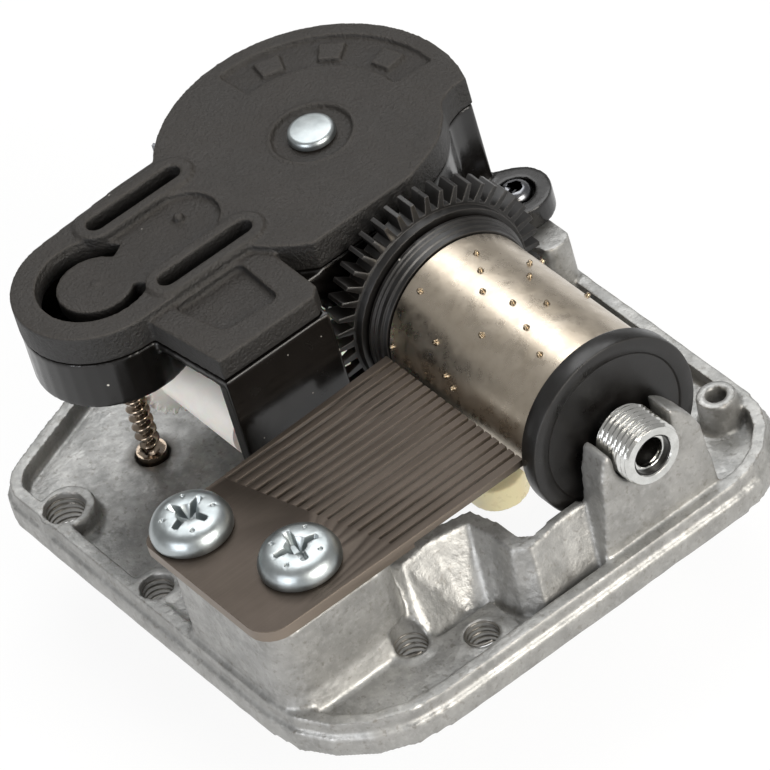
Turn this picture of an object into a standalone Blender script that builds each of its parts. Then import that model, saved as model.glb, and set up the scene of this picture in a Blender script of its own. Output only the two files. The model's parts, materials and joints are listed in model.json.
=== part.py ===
"""Spring-wound 18-note musical movement, modelled in Blender.

Run with: blender --background --python part.py

The pieces are drawn in millimetres and finished in metres.  +X runs along the pinned cylinder from its gear
to its bush, +Y runs from the comb's free edge to the spring barrel, and +Z is up.  The origin is the centre
of the bedplate's footprint, on its underside.
"""

import math

import bmesh
import bpy
from mathutils import Matrix, Vector

# ---------------------------------------------------------------- driving dimensions, millimetres
PLATE_LENGTH = 52.2
PLATE_WIDTH = 44.6
PLATE_FLOOR = 1.5
PLATE_FLASH = 1.8
PLATE_RIM = 3.0
RIM_WIDTH = 1.1
STEP_INSET = 0.4
WINDOW_CORNER = 2.0
FRONT_CORNER = 10.0
BACK_CORNER = 7.5
PAN_DROP = 1.2
PAN_FLOOR = 0.85

BARREL_RADIUS = 12.28
BARREL_MARGIN = 0.87
HOUSING_WALL = 1.15
COVER_TOP = 19.8
COVER_THICKNESS = 2.4

AXIS_HEIGHT = 10.52
SLEEVE_RADIUS = 6.56
SLEEVE_WALL = 0.5
PIN_RADIUS = 0.22
PIN_HEIGHT = 0.3
ARBOR_RADIUS = 0.9
FLANGE_RADIUS = 7.34
FLANGE_THICKNESS = 1.7

CYLINDER_TEETH = 44
CYLINDER_MODULE = 0.395
GEAR_LEFT = 11.0
GEAR_FACE = 1.75
COLLAR_RADIUS = 8.05
COLLAR_LENGTH = 2.6

FIRST_PINION_TEETH = 12
FIRST_WHEEL_TEETH = 30
SECOND_PINION_TEETH = 9
WORM_WHEEL_TEETH = 24
WORM_WHEEL_TIP = 3.85
WORM_WHEEL_FACE = 1.3
SECOND_AXLE_DROP = 3.04
WORM_ROOT = 0.5
WORM_OUTER = 0.92
DRUM_RADIUS = 2.4
AXLE_RADIUS = 0.4

GOVERNOR_OFFSET = 0.25
GOVERNOR_RADIUS = 6.45
CUP_HEIGHT = 4.4
CUP_WALL = 0.8
CUP_SEAT = 1.2

CROWN_TEETH = 58
CROWN_WIDTH = 1.1
CROWN_HEIGHT = 1.3

EAR_INSET = 1.5
EAR_THICKNESS = 2.7
BUSH_RADIUS = 2.54
BUSH_BORE = 1.65
BUSH_BORE_DEPTH = 0.9
BUSH_THROAT = 1.4
BUSH_THROAT_DEPTH = 3.0
BUSH_PROUD = 1.15

COMB_THICKNESS = 1.0
COMB_TOOTH_THICKNESS = 0.6
COMB_TEETH = 18
COMB_SLIT = 0.28
COMB_FRONT = 0.6
COMB_TOP = 11.3
SCREW_HEAD = 3.15
SCREW_SHANK = 1.3
LUG_HEAD = 1.7
LUG_SHANK = 0.9
LUG_THICKNESS = 1.3
LUG_RADIUS = 1.9
NOTCH_WALL = 0.8

WINDING_RADIUS = 1.3
KEY_HALF_SPAN = 15.6
KEY_BAR_WIDTH = 4.8
KEY_BAR_THICKNESS = 2.2
KEY_DROP = 7.4

SPRING_STRIP = 0.3
SPRING_OUTER = 8.4
SPRING_CLEARANCE = 1.7
SPRING_LID = 0.5
TAB_HEADING = 210.0
TAB_LENGTH = 2.0

WORM_THREAD = 0.24
WHEEL_FACE = 0.55
BEARING_RADIUS = 1.9
CROWN_FOOT = 0.62
CROWN_CREST = 0.26
FLY_REACH = 4.9
FLY_HEIGHT = 2.2
RIM_OFFSET = 4.65
WEIGHTED_TEETH = 6

GAP = 0.3
RUN = 0.15

# ---------------------------------------------------------------- places worked out from them
HALF_LENGTH = PLATE_LENGTH / 2
HALF_WIDTH = PLATE_WIDTH / 2
LOBE_RADIUS = BARREL_RADIUS + BARREL_MARGIN
BARREL = Vector((-HALF_LENGTH + LOBE_RADIUS, HALF_WIDTH - LOBE_RADIUS, 0))
AXIS_Y = BARREL.y
COVER_UNDER = COVER_TOP - COVER_THICKNESS
HOUSING_TOP = COVER_UNDER - GAP
HOUSING_BOTTOM = PLATE_RIM + GAP
SPRING_BOTTOM = HOUSING_BOTTOM + SPRING_CLEARANCE
SPRING_TOP = HOUSING_TOP - SPRING_LID

GEAR_X0 = BARREL.x + GEAR_LEFT
GEAR_X1 = GEAR_X0 + GEAR_FACE
CYLINDER_PITCH = CYLINDER_TEETH * CYLINDER_MODULE / 2
SLEEVE_X0 = GEAR_X1 + COLLAR_LENGTH
EAR_X1 = HALF_LENGTH - EAR_INSET
EAR_X0 = EAR_X1 - EAR_THICKNESS
FLANGE_X1 = EAR_X0 - 0.7
FLANGE_X0 = FLANGE_X1 - FLANGE_THICKNESS
CHORD_X = BARREL.x + 9.9

FIRST_AXLE_Y = AXIS_Y - CYLINDER_PITCH - FIRST_PINION_TEETH * CYLINDER_MODULE / 2
WORM_DISTANCE = WORM_ROOT + RUN + WORM_WHEEL_TIP
WORM = Vector((BARREL.x - GOVERNOR_OFFSET, AXIS_Y - 20.5, 0))
SECOND_AXLE_Y = WORM.y + WORM_DISTANCE
SECOND_AXLE_Z = AXIS_HEIGHT - SECOND_AXLE_DROP
AXLE_SPACING = math.hypot(FIRST_AXLE_Y - SECOND_AXLE_Y, SECOND_AXLE_DROP)
SECOND_MODULE = 2 * AXLE_SPACING / (FIRST_WHEEL_TEETH + SECOND_PINION_TEETH)
WALL_X1 = GEAR_X0 + 2.95
WALL_X0 = WALL_X1 - 1.3
BOX_Y0 = SECOND_AXLE_Y - 3.3
BOX_Y1 = BOX_Y0 + 9.7

COMB_X0 = SLEEVE_X0
COMB_X1 = FLANGE_X0 - GAP
COMB_Y0 = -HALF_WIDTH + COMB_FRONT
COMB_TIP_Y = AXIS_Y - SLEEVE_RADIUS - PIN_HEIGHT - 0.04
BLOCK_TOP = COMB_TOP - COMB_THICKNESS - RUN
COMB_PITCH = (COMB_X1 - COMB_X0) / COMB_TEETH
BLOCK_X0 = COMB_X0 + 3.6
BLOCK_X1 = COMB_X1 - 0.2
BLOCK_Y1 = COMB_Y0 + 12.0
FIRST_WHEEL_X = CHORD_X + GAP
COMB_SCREWS = [Vector((COMB_X0 + 3.3, COMB_Y0 + 3.3, 0)), Vector((COMB_X0 + 12.4, COMB_Y0 + 6.6, 0))]

POST = Vector((BARREL.x + 7.0, BARREL.y + 11.5, 0))
POST_TOP = 7.2
POCKET_RADIUS = LOBE_RADIUS - BARREL_MARGIN
CROWN_OUTER = POCKET_RADIUS - GAP
PAN_TOP = PAN_FLOOR - PAN_DROP
WHEEL_BOTTOM = PAN_TOP + GAP
CROWN_TIP = AXIS_HEIGHT - CYLINDER_PITCH + 0.45
CROWN_ROOT = CROWN_TIP - CROWN_HEIGHT

BOSSES = [
    (-HALF_LENGTH + 13.8, -HALF_WIDTH + 2.5, 2.5, PLATE_RIM),
    (-HALF_LENGTH + 26.2, -HALF_WIDTH + 2.3, 2.1, PLATE_RIM),
    (HALF_LENGTH - 6.6, -HALF_WIDTH + 11.4, 1.9, PLATE_RIM - 0.3),
    (HALF_LENGTH - 3.4, -HALF_WIDTH + 15.6, 1.9, PLATE_RIM - 0.4),
    (HALF_LENGTH - 7.7, HALF_WIDTH - 2.9, 1.7, PLATE_RIM + 1.3),
]
HOLES = [
    (-HALF_LENGTH + 13.8, -HALF_WIDTH + 2.3, 1.6),
    (-HALF_LENGTH + 26.2, -HALF_WIDTH + 2.1, 1.3),
    (HALF_LENGTH - 6.6, -HALF_WIDTH + 11.4, 1.3),
    (HALF_LENGTH - 3.4, -HALF_WIDTH + 15.6, 1.3),
    (HALF_LENGTH - 7.7, HALF_WIDTH - 2.9, 0.8),
]
WAVE_TOP = 7.0
# The parts of the floor that stand higher, as (x0, x1, y0, y1, top).
PADS = [
    (-HALF_LENGTH + 24.1, BLOCK_X0 + 1.0, -HALF_WIDTH - 1.0, -HALF_WIDTH + 4.3, PLATE_RIM - 0.15),
    (BLOCK_X1 - 1.0, HALF_LENGTH + 1.0, -HALF_WIDTH - 1.0, BLOCK_Y1, PLATE_RIM - 0.6),
    (BLOCK_X1 + 1.3, HALF_LENGTH + 1.0, BLOCK_Y1 - 1.0, BLOCK_Y1 + 5.5, PLATE_RIM - 0.6),
]

# The tune's pins as (comb tooth, angle round the cylinder in degrees from +Y towards +Z).
MELODY = [(2, 77), (4, 86), (6, 97), (1, 121), (9, 91), (11, 76), (12, 99), (9, 120), (15, 108), (5, 142)]
MELODY += [(7, 158), (8, 163), (0, 166), (5, 52), (7, 65)]
MELODY += [((7 * i) % COMB_TEETH, 185 + 9.5 * i) for i in range(24)]


# ---------------------------------------------------------------- scene and mesh helpers
def clear_scene():
    """Remove every object that the file opened with."""
    for obj in list(bpy.data.objects):
        bpy.data.objects.remove(obj, do_unlink=True)


def collection(name):
    """Return a new collection linked under the scene."""
    made = bpy.data.collections.new(name)
    bpy.context.scene.collection.children.link(made)
    return made


def shape(mesh, name="shape"):
    """Link a working object that holds this mesh."""
    obj = bpy.data.objects.new(name, mesh)
    bpy.context.scene.collection.objects.link(obj)
    return obj


def evaluated_mesh(obj):
    """Return a new mesh of the object with its modifiers applied and its seams welded."""
    bpy.context.view_layer.update()
    mesh = bpy.data.meshes.new_from_object(obj.evaluated_get(bpy.context.evaluated_depsgraph_get()))
    bm = bmesh.new()
    bm.from_mesh(mesh)
    bmesh.ops.remove_doubles(bm, verts=bm.verts, dist=0.0001)
    bmesh.ops.recalc_face_normals(bm, faces=bm.faces)
    bm.to_mesh(mesh)
    bm.free()
    return mesh


def settle(obj):
    """Replace a working object by a plain mesh object of what it evaluates to."""
    made = shape(evaluated_mesh(obj))
    bpy.data.objects.remove(obj, do_unlink=True)
    return made


def from_bmesh(bm):
    """Link a working object made from a bmesh and free the bmesh."""
    mesh = bpy.data.meshes.new("shape")
    bm.to_mesh(mesh)
    bm.free()
    return shape(mesh)


def closed_loft(bm):
    """Link a working object made from a bmesh of side walls and end faces, all in triangles."""
    bm.normal_update()
    bmesh.ops.triangulate(bm, faces=bm.faces)
    bmesh.ops.recalc_face_normals(bm, faces=bm.faces)
    return from_bmesh(bm)


def box(x0, x1, y0, y1, z0, z1):
    """A box between two opposite corners."""
    bm = bmesh.new()
    bmesh.ops.create_cube(bm, size=1)
    bmesh.ops.scale(bm, vec=(x1 - x0, y1 - y0, z1 - z0), verts=bm.verts)
    bmesh.ops.translate(bm, vec=((x0 + x1) / 2, (y0 + y1) / 2, (z0 + z1) / 2), verts=bm.verts)
    return from_bmesh(bm)


def rod(radius, low, high, x=0.0, y=0.0, z=0.0, axis="Z", sides=32, end_radius=None):
    """A round bar from low to high along an axis, through the other two coordinates."""
    bm = bmesh.new()
    top = radius if end_radius is None else end_radius
    bmesh.ops.create_cone(
        bm, cap_ends=True, segments=sides, radius1=radius, radius2=top, depth=high - low
    )
    bmesh.ops.translate(bm, vec=(0, 0, (high + low) / 2), verts=bm.verts)
    if axis == "X":
        bmesh.ops.rotate(bm, matrix=Matrix.Rotation(math.pi / 2, 3, "Y"), verts=bm.verts)
    bmesh.ops.translate(bm, vec=(x, y, z), verts=bm.verts)
    return from_bmesh(bm)


def slab(loops, z0, z1):
    """A flat plate of one or more closed outlines, the inner ones being holes."""
    curve = bpy.data.curves.new("outline", "CURVE")
    curve.dimensions = "2D"
    curve.fill_mode = "BOTH"
    curve.extrude = (z1 - z0) / 2
    for loop in loops:
        spline = curve.splines.new("POLY")
        spline.points.add(len(loop) - 1)
        for point, (x, y) in zip(spline.points, loop):
            point.co = (x, y, 0, 1)
        spline.use_cyclic_u = True
    obj = bpy.data.objects.new("outline", curve)
    bpy.context.scene.collection.objects.link(obj)
    made = settle(obj)
    made.data.transform(Matrix.Translation((0, 0, (z0 + z1) / 2)))
    return made


def upright(loops, x0, x1):
    """A plate drawn in the Y-Z plane that reaches from x0 to x1."""
    made = slab(loops, x0, x1)
    turn = Matrix(((0, 0, 1, 0), (1, 0, 0, 0), (0, 1, 0, 0), (0, 0, 0, 1)))
    made.data.transform(turn)
    return made


def turned(profile, steps=48, axis="Z", at=(0, 0, 0), closed=False):
    """A turned shape of (radius, height) points that run from top to bottom on the outside."""
    edges = [(i, i + 1) for i in range(len(profile) - 1)]
    if closed:
        edges.append((len(profile) - 1, 0))
    mesh = bpy.data.meshes.new("profile")
    mesh.from_pydata([(radius, 0, height) for radius, height in profile], edges, [])
    obj = shape(mesh)
    screw = obj.modifiers.new("turn", "SCREW")
    screw.steps = steps
    screw.render_steps = steps
    screw.use_merge_vertices = True
    screw.merge_threshold = 0.0001
    screw.use_smooth_shade = False
    made = settle(obj)
    if axis == "X":
        made.data.transform(Matrix.Rotation(math.pi / 2, 4, "Y"))
    made.data.transform(Matrix.Translation(at))
    return made


def wire(points, radius, cyclic=False):
    """A round wire through the points, with filled ends."""
    curve = bpy.data.curves.new("wire", "CURVE")
    curve.dimensions = "3D"
    curve.bevel_depth = radius
    curve.bevel_resolution = 0
    curve.use_fill_caps = True
    spline = curve.splines.new("POLY")
    spline.points.add(len(points) - 1)
    for point, co in zip(spline.points, points):
        point.co = (*co, 1)
    spline.use_cyclic_u = cyclic
    obj = bpy.data.objects.new("wire", curve)
    bpy.context.scene.collection.objects.link(obj)
    return settle(obj)


def combine(base, tools, operation):
    """Apply one Boolean for each tool to the base and remove the tools."""
    for tool in tools:
        boolean = base.modifiers.new("boolean", "BOOLEAN")
        boolean.operation = operation
        boolean.solver = "EXACT"
        boolean.object = tool
        base = settle(base)
        bpy.data.objects.remove(tool, do_unlink=True)
    return base


def cut(base, *tools):
    """Cut the tools out of the base."""
    return combine(base, tools, "DIFFERENCE")


def join(base, *tools):
    """Join the tools to the base."""
    return combine(base, tools, "UNION")


def moved(obj, matrix):
    """Move a working object's mesh and return the object."""
    obj.data.transform(matrix)
    return obj


def arc(cx, cy, radius, start, end, steps):
    """Points on an arc, in degrees, both ends included."""
    angles = [math.radians(start + (end - start) * i / steps) for i in range(steps + 1)]
    return [(cx + radius * math.cos(a), cy + radius * math.sin(a)) for a in angles]


def circle(cx, cy, radius, steps=32):
    """Points round a full circle."""
    return arc(cx, cy, radius, 0, 360 - 360 / steps, steps - 1)


def rounded(corners, inset=0.0, degrees=18.0):
    """A convex or concave outline of (x, y, radius) corners, moved inwards, with round corners."""
    count = len(corners)
    points = []
    for i in range(count):
        before, here, after = (Vector(corners[(i + k) % count][:2]) for k in (-1, 0, 1))
        first = (here - before).normalized()
        second = (after - here).normalized()
        left_first = Vector((-first.y, first.x))
        left_second = Vector((-second.y, second.x))
        corner = here + (left_first + left_second) * inset / (1 + left_first.dot(left_second))
        turn = math.atan2(first.x * second.y - first.y * second.x, first.dot(second))
        radius = corners[i][2] - inset if turn > 0 else corners[i][2] + inset
        if corners[i][2] <= 0 or radius <= 0.05:
            points.append(tuple(corner))
            continue
        side = math.copysign(1, turn)
        reach = radius * math.tan(abs(turn) / 2)
        centre = corner - first * reach + left_first * radius * side
        start = math.degrees(math.atan2(*reversed(-left_first * side)))
        steps = max(2, round(abs(math.degrees(turn)) / degrees))
        points += arc(centre.x, centre.y, radius, start, start + math.degrees(turn), steps)
    return points


def stadium(start, end, radius, steps=8):
    """The outline of a slot with round ends."""
    start, end = Vector(start), Vector(end)
    heading = math.degrees(math.atan2(end.y - start.y, end.x - start.x))
    near = arc(start.x, start.y, radius, heading + 90, heading + 270, steps)
    far = arc(end.x, end.y, radius, heading - 90, heading + 90, steps)
    return near + far


def gear_outline(teeth, module, depth_out, depth_in, phase=0.0, tip=0.26, root=0.52):
    """Straight-sided teeth round the origin, each `tip` of a pitch wide at its top and `root` at its foot."""
    pitch_radius = teeth * module / 2
    points = []
    for i in range(teeth):
        middle = phase + 2 * math.pi * i / teeth
        half_foot = math.pi / teeth * root
        half_top = math.pi / teeth * tip
        for radius, angle in (
            (pitch_radius - depth_in, middle - half_foot),
            (pitch_radius + depth_out, middle - half_top),
            (pitch_radius + depth_out, middle + half_top),
            (pitch_radius - depth_in, middle + half_foot),
        ):
            points.append((radius * math.cos(angle), radius * math.sin(angle)))
    return points


def shifted(points, x, y):
    """Outline points moved by x and y."""
    return [(px + x, py + y) for px, py in points]


# ---------------------------------------------------------------- materials and finished pieces
def material(name, colour, roughness, metallic=0.0):
    """A Principled material with a linear colour."""
    made = bpy.data.materials.new(name)
    made.use_nodes = True
    shader = made.node_tree.nodes["Principled BSDF"]
    shader.inputs["Base Color"].default_value = (*colour, 1)
    shader.inputs["Roughness"].default_value = roughness
    shader.inputs["Metallic"].default_value = metallic
    made.diffuse_color = (*colour, 1)
    return made


def piece(name, obj, look, parts, parent=None, origin=(0, 0, 0)):
    """Finish a working object: metres, its own origin, a material, smooth shading and its collection."""
    mesh = obj.data
    mesh.transform(Matrix.Translation(-Vector(origin)))
    mesh.transform(Matrix.Scale(0.001, 4))
    mesh.name = name
    mesh.materials.clear()
    mesh.materials.append(look)
    mesh.shade_smooth()
    mesh.set_sharp_from_angle(angle=math.radians(32))
    bpy.context.scene.collection.objects.unlink(obj)
    parts.objects.link(obj)
    obj.name = name
    if parent is None:
        obj.location = Vector(origin) * 0.001
    else:
        obj.parent = parent
        obj.location = Vector(origin) * 0.001 - parent.location
    return obj


def pivot(name, at, parts):
    """An empty on a joint's axis."""
    made = bpy.data.objects.new(name, None)
    made.empty_display_size = 0.004
    made.location = Vector(at) * 0.001
    parts.objects.link(made)
    return made


# ---------------------------------------------------------------- the die-cast bedplate
def plate_corners():
    """The plate's corners, anticlockwise from the front left, as (x, y, radius)."""
    left, right, front, back = -HALF_LENGTH, HALF_LENGTH, -HALF_WIDTH, HALF_WIDTH
    return [
        (left + 7.45, front, 4.0),
        (right, front, FRONT_CORNER),
        (right, back, BACK_CORNER),
        (left, back, LOBE_RADIUS),
        (left, AXIS_Y - 13.0, 8.0),
    ]


def window_corners():
    """The opening under the cylinder and the comb's teeth."""
    left, right = BARREL.x + 15.6, EAR_X0 - 0.4
    front, back = BLOCK_Y1 + 5.4, AXIS_Y + SLEEVE_RADIUS + 0.4
    return [
        (left, front, WINDOW_CORNER),
        (BLOCK_X1 - 2.4, front, 0),
        (BLOCK_X1 - 1.5, front + 1.4, 0.8),
        (right - 0.4, front + 2.0, 1.2),
        (right, front + 4.0, 1.0),
        (right, back, WINDOW_CORNER),
        (left, back, WINDOW_CORNER),
    ]


def wavy_wall():
    """The low curved wall from the comb's block to the ear, wider at its foot than at its top."""
    x0, y0 = BLOCK_X1, BLOCK_Y1
    top_outer = [(x0 - 3.2, y0 + 0.2), (x0 - 2.3, y0 + 1.4), (x0 - 2.6, y0 + 4.0), (x0 - 1.9, y0 + 7.2)]
    top_outer += [(x0 + 0.1, y0 + 7.5), (EAR_X0 - 0.1, y0 + 7.6), (EAR_X0 + 0.9, y0 + 8.7)]
    top_outer += [(EAR_X0 + 0.3, y0 + 11.9), (EAR_X0 + 0.3, y0 + 14.0)]
    foot_outer = [(x0 + 1.9, y0 - 1.0), (x0 + 1.9, y0 + 0.3), (x0 + 0.4, y0 + 4.3), (x0 + 1.2, y0 + 5.4)]
    foot_outer += [(x0 + 2.2, y0 + 5.8), (x0 + 4.0, y0 + 6.4), (EAR_X1, y0 + 7.6)]
    foot_outer += [(EAR_X1 - 0.4, y0 + 10.5), (EAR_X1 - 0.6, y0 + 14.0)]
    inward = [(-1.0, 0.4), (-1.0, 0.6), (-1.2, 0.4), (-1.0, 0.9), (-0.2, 1.3), (-0.6, 1.3), (-0.95, 0.9)]
    inward += [(-0.75, 0.0), (-0.75, 0.0)]
    inner = [(x + dx, y + dy) for (x, y), (dx, dy) in zip(top_outer, inward)]
    bm = bmesh.new()
    rings = []
    for outer, height in ((foot_outer, PLATE_FLOOR - 0.5), (top_outer, WAVE_TOP)):
        ring = [bm.verts.new((x, y, height)) for x, y in outer]
        ring += [bm.verts.new((x, y, height)) for x, y in reversed(inner)]
        rings.append(ring)
    count = len(rings[0])
    for i in range(count):
        j = (i + 1) % count
        bm.faces.new((rings[0][i], rings[0][j], rings[1][j], rings[1][i]))
    bm.faces.new(rings[1])
    bm.faces.new(list(reversed(rings[0])))
    return closed_loft(bm)


def ear():
    """The bearing post at the cylinder's free end, with a cradle for the bush."""
    y, z = AXIS_Y, AXIS_HEIGHT
    cradle = BUSH_RADIUS + RUN
    outline = [(y - 5.9, PLATE_FLOOR - 0.5), (y + 5.4, PLATE_FLOOR - 0.5), (y + 5.25, z - 4.4)]
    outline += [(y + 5.1, z - 1.5), (y + 4.6, z - 0.2), (y + 3.7, z + 1.0), (y + cradle + 0.1, z + 1.7)]
    outline += [(y + cradle, z + 0.4)] + arc(y, z, cradle, 0, -180, 14) + [(y - cradle, z + 0.4)]
    outline += [(y - cradle - 0.1, z + 1.3), (y - 3.3, z + 1.3), (y - 4.0, z - 0.6), (y - 4.4, z - 3.0)]
    return upright([outline], EAR_X0, EAR_X1)


def comb_block():
    """The raised block that the comb is screwed to, flared at its foot."""
    low, top, flare = PLATE_FLOOR - 0.5, BLOCK_TOP, 1.5
    bm = bmesh.new()
    corners = [
        (BLOCK_X0, COMB_Y0 + 0.35, 1.2),
        (BLOCK_X1, COMB_Y0 + 0.35, 2.4),
        (BLOCK_X1, BLOCK_Y1, 2.0),
        (BLOCK_X0, BLOCK_Y1, 1.2),
    ]
    rings = []
    for height, spread in ((low, flare), (PLATE_RIM - 0.6, flare * 0.45), (PLATE_RIM + 1.2, 0.1), (top, 0)):
        loop = rounded(corners, -spread, 15)
        front = COMB_Y0 + 0.35
        loop = [(x, max(y, front - spread * 0.15)) for x, y in loop]
        rings.append([bm.verts.new((x, y, height)) for x, y in loop])
    for lower, upper in zip(rings, rings[1:]):
        for i in range(len(lower)):
            j = (i + 1) % len(lower)
            bm.faces.new((lower[i], lower[j], upper[j], upper[i]))
    bm.faces.new(rings[-1])
    bm.faces.new(list(reversed(rings[0])))
    return closed_loft(bm)


def bedplate():
    """The casting: floor, two-step rim, bosses, comb block, wavy wall, ear, post and the barrel's pan."""
    low = slab([rounded(plate_corners())], 0, PLATE_FLASH)
    upper = slab([rounded(plate_corners(), STEP_INSET)], PLATE_FLASH - 0.4, PLATE_RIM)
    body = join(low, upper)
    recess = slab([rounded(plate_corners(), STEP_INSET + RIM_WIDTH)], PLATE_FLOOR, PLATE_RIM + 1)
    for x0, x1, y0, y1, top in PADS:
        recess = cut(recess, box(x0, x1, y0, y1, PLATE_FLOOR - 1, top))
    body = cut(body, recess)
    pan = rod(LOBE_RADIUS - 0.25, -PAN_DROP, PLATE_FLOOR - 0.3, BARREL.x, BARREL.y, sides=48)
    body = join(body, pan)
    for x, y, radius, top in BOSSES:
        body = join(body, rod(radius, PLATE_FLOOR - 0.5, top, x, y, sides=24, end_radius=radius * 0.9))
    body = join(body, comb_block(), wavy_wall(), ear())
    body = join(body, housing_post())
    window = slab([rounded(window_corners())], -1, PLATE_FLOOR + 0.4)
    gear_slot = box(GEAR_X0 - 0.5, BARREL.x + 15.8, AXIS_Y - 7.0, AXIS_Y + 6.6, 0.75, PLATE_FLOOR + 0.4)
    pocket = rod(POCKET_RADIUS, PAN_TOP, PLATE_RIM + 20, BARREL.x, BARREL.y, sides=48)
    body = cut(body, window, gear_slot, pocket)
    body = cut(body, rod(WINDING_RADIUS + 0.25, -PAN_DROP - 1, 1, BARREL.x, BARREL.y, sides=32))
    for x, y, radius in HOLES:
        body = cut(body, rod(radius, -1, PLATE_RIM + 1.5, x, y, sides=20))
    for screw in COMB_SCREWS:
        body = cut(body, rod(SCREW_SHANK + RUN, 3.0, BLOCK_TOP + 1, screw.x, screw.y, sides=20))
    body = cut(body, rod(LUG_SHANK + RUN, 3.0, POST_TOP + 1, POST.x, POST.y, sides=16))
    return cut(body, rod(CUP_SEAT + RUN, PLATE_FLOOR - 0.7, PLATE_FLOOR + 1, WORM.x, WORM.y, sides=20))


def housing_post():
    """The post behind the barrel that the housing's lug is screwed to."""
    corners = [(POST.x - 2.6, POST.y - 1.9, 0.5), (POST.x + 2.6, POST.y - 1.9, 0)]
    corners += [(POST.x + 5.2, POST.y - 1.45, 0.8)]
    corners += [(POST.x + 5.2, HALF_WIDTH - 0.6, 1.0), (POST.x - 2.6, HALF_WIDTH - 0.6, 0.5)]
    post = slab([rounded(corners, 0, 30)], PLATE_FLOOR - 0.5, POST_TOP)
    return cut(post, rod(BARREL_RADIUS + GAP, PLATE_FLOOR - 1, POST_TOP + 1, BARREL.x, BARREL.y, sides=48))


# ---------------------------------------------------------------- the comb and its screws
def comb():
    """The steel comb: a base with round front corners and eighteen thinner teeth."""
    x0, x1, y0 = COMB_X0, COMB_X1, COMB_Y0
    corners = [(x0 + 0.6, y0 + 5.0, 0), (x0 + 1.2, y0, 1.2), (x1, y0, 2.2)]
    for i in reversed(range(COMB_TEETH)):
        left = x0 if i == 0 else x0 + i * COMB_PITCH + COMB_SLIT / 2
        right = x1 if i == COMB_TEETH - 1 else x0 + (i + 1) * COMB_PITCH - COMB_SLIT / 2
        corners += [(right, COMB_TIP_Y, 0), (left, COMB_TIP_Y, 0)]
        if i:
            corners += [(left, comb_root(i), 0), (left - COMB_SLIT, comb_root(i), 0)]
    steel = slab([rounded(corners, 0, 15)], COMB_TOP - COMB_THICKNESS, COMB_TOP)
    thin_from = comb_root(COMB_TEETH) + 1.2
    relief = box(x0 - 1, x1 + 1, thin_from, COMB_TIP_Y + 1, 0, COMB_TOP - COMB_TOOTH_THICKNESS)
    steel = cut(steel, relief)
    for screw in COMB_SCREWS:
        steel = cut(steel, rod(SCREW_SHANK + RUN, COMB_TOP - 3, COMB_TOP + 3, screw.x, screw.y, sides=20))
    return steel


def lead_weight(i):
    """The lead block under the tip of a bass tooth."""
    left = COMB_X0 + i * COMB_PITCH + COMB_SLIT
    right = COMB_X0 + (i + 1) * COMB_PITCH - COMB_SLIT
    under = COMB_TOP - COMB_TOOTH_THICKNESS - RUN
    length = 3.4 - 0.35 * i
    return box(left, right, COMB_TIP_Y - 1.2 - length, COMB_TIP_Y - 1.2, under - 1.3, under)


def comb_root(i):
    """Where the i-th slit starts: the long bass teeth are on the gear's side."""
    return COMB_Y0 + 7.9 + (12.4 - 7.9) * i / COMB_TEETH


def pan_screw(radius, height, shank, length, recess=True):
    """A pan-headed screw with its seat at z = 0 and a cross recess."""
    profile = [(0, height), (radius * 0.55, height), (radius * 0.82, height * 0.86)]
    profile += [(radius * 0.97, height * 0.55), (radius, height * 0.3), (radius, 0)]
    profile += [(shank, 0), (shank, -length), (0, -length)]
    screw = turned(profile, 24)
    if recess:
        for angle in (0, 90):
            arm = box(-radius * 0.5, radius * 0.5, -radius * 0.14, radius * 0.14, height * 0.3, height + 1)
            screw = cut(screw, moved(arm, Matrix.Rotation(math.radians(angle + 20), 4, "Z")))
    return screw


# ---------------------------------------------------------------- the plastic cover and housing
def flattened(radius, chord):
    """A round outline about the barrel's axis with a flat on the gear's side."""
    half = math.degrees(math.acos(chord / radius))
    return arc(BARREL.x, BARREL.y, radius, half, 360 - half, 36)


def governor_bridge():
    """The cover's outline over the governor and the neck to the barrel."""
    front = arc(WORM.x, WORM.y, GOVERNOR_RADIUS, 180, 360, 24)
    right_x = WORM.x + GOVERNOR_RADIUS
    left_x = BARREL.x - 7.3
    return front + [(right_x, BARREL.y - 8), (left_x, BARREL.y - 8), (left_x, BARREL.y - 13)]


def wheel_cover():
    """The cover's outline over the wheel train."""
    return [
        (WORM.x + 2.0, BOX_Y0 - 1.4),
        (WALL_X1, BOX_Y0),
        (WALL_X1, BOX_Y1 - 0.8),
        (WALL_X1 - 0.8, BOX_Y1),
        (WORM.x + 2.0, BOX_Y1),
    ]


def notch(move=0.0):
    """The scalloped shoulder cut out of the cover and the housing, moved into the barrel by `move`."""
    chord = CHORD_X - BARREL.x
    corners = [(chord, 2.0, 0), (9.1, 4.3, 3.0), (8.3, 6.0, 4.0), (6.6, 7.7, 4.0), (5.1, 8.6, 1.5)]
    corners += [(4.5, 10.2, 2.0), (4.6, 14, 0), (14, 14, 0), (14, 2.0, 0)]
    return shifted(rounded(corners, 0, 14), BARREL.x - move, BARREL.y - move)


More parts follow.
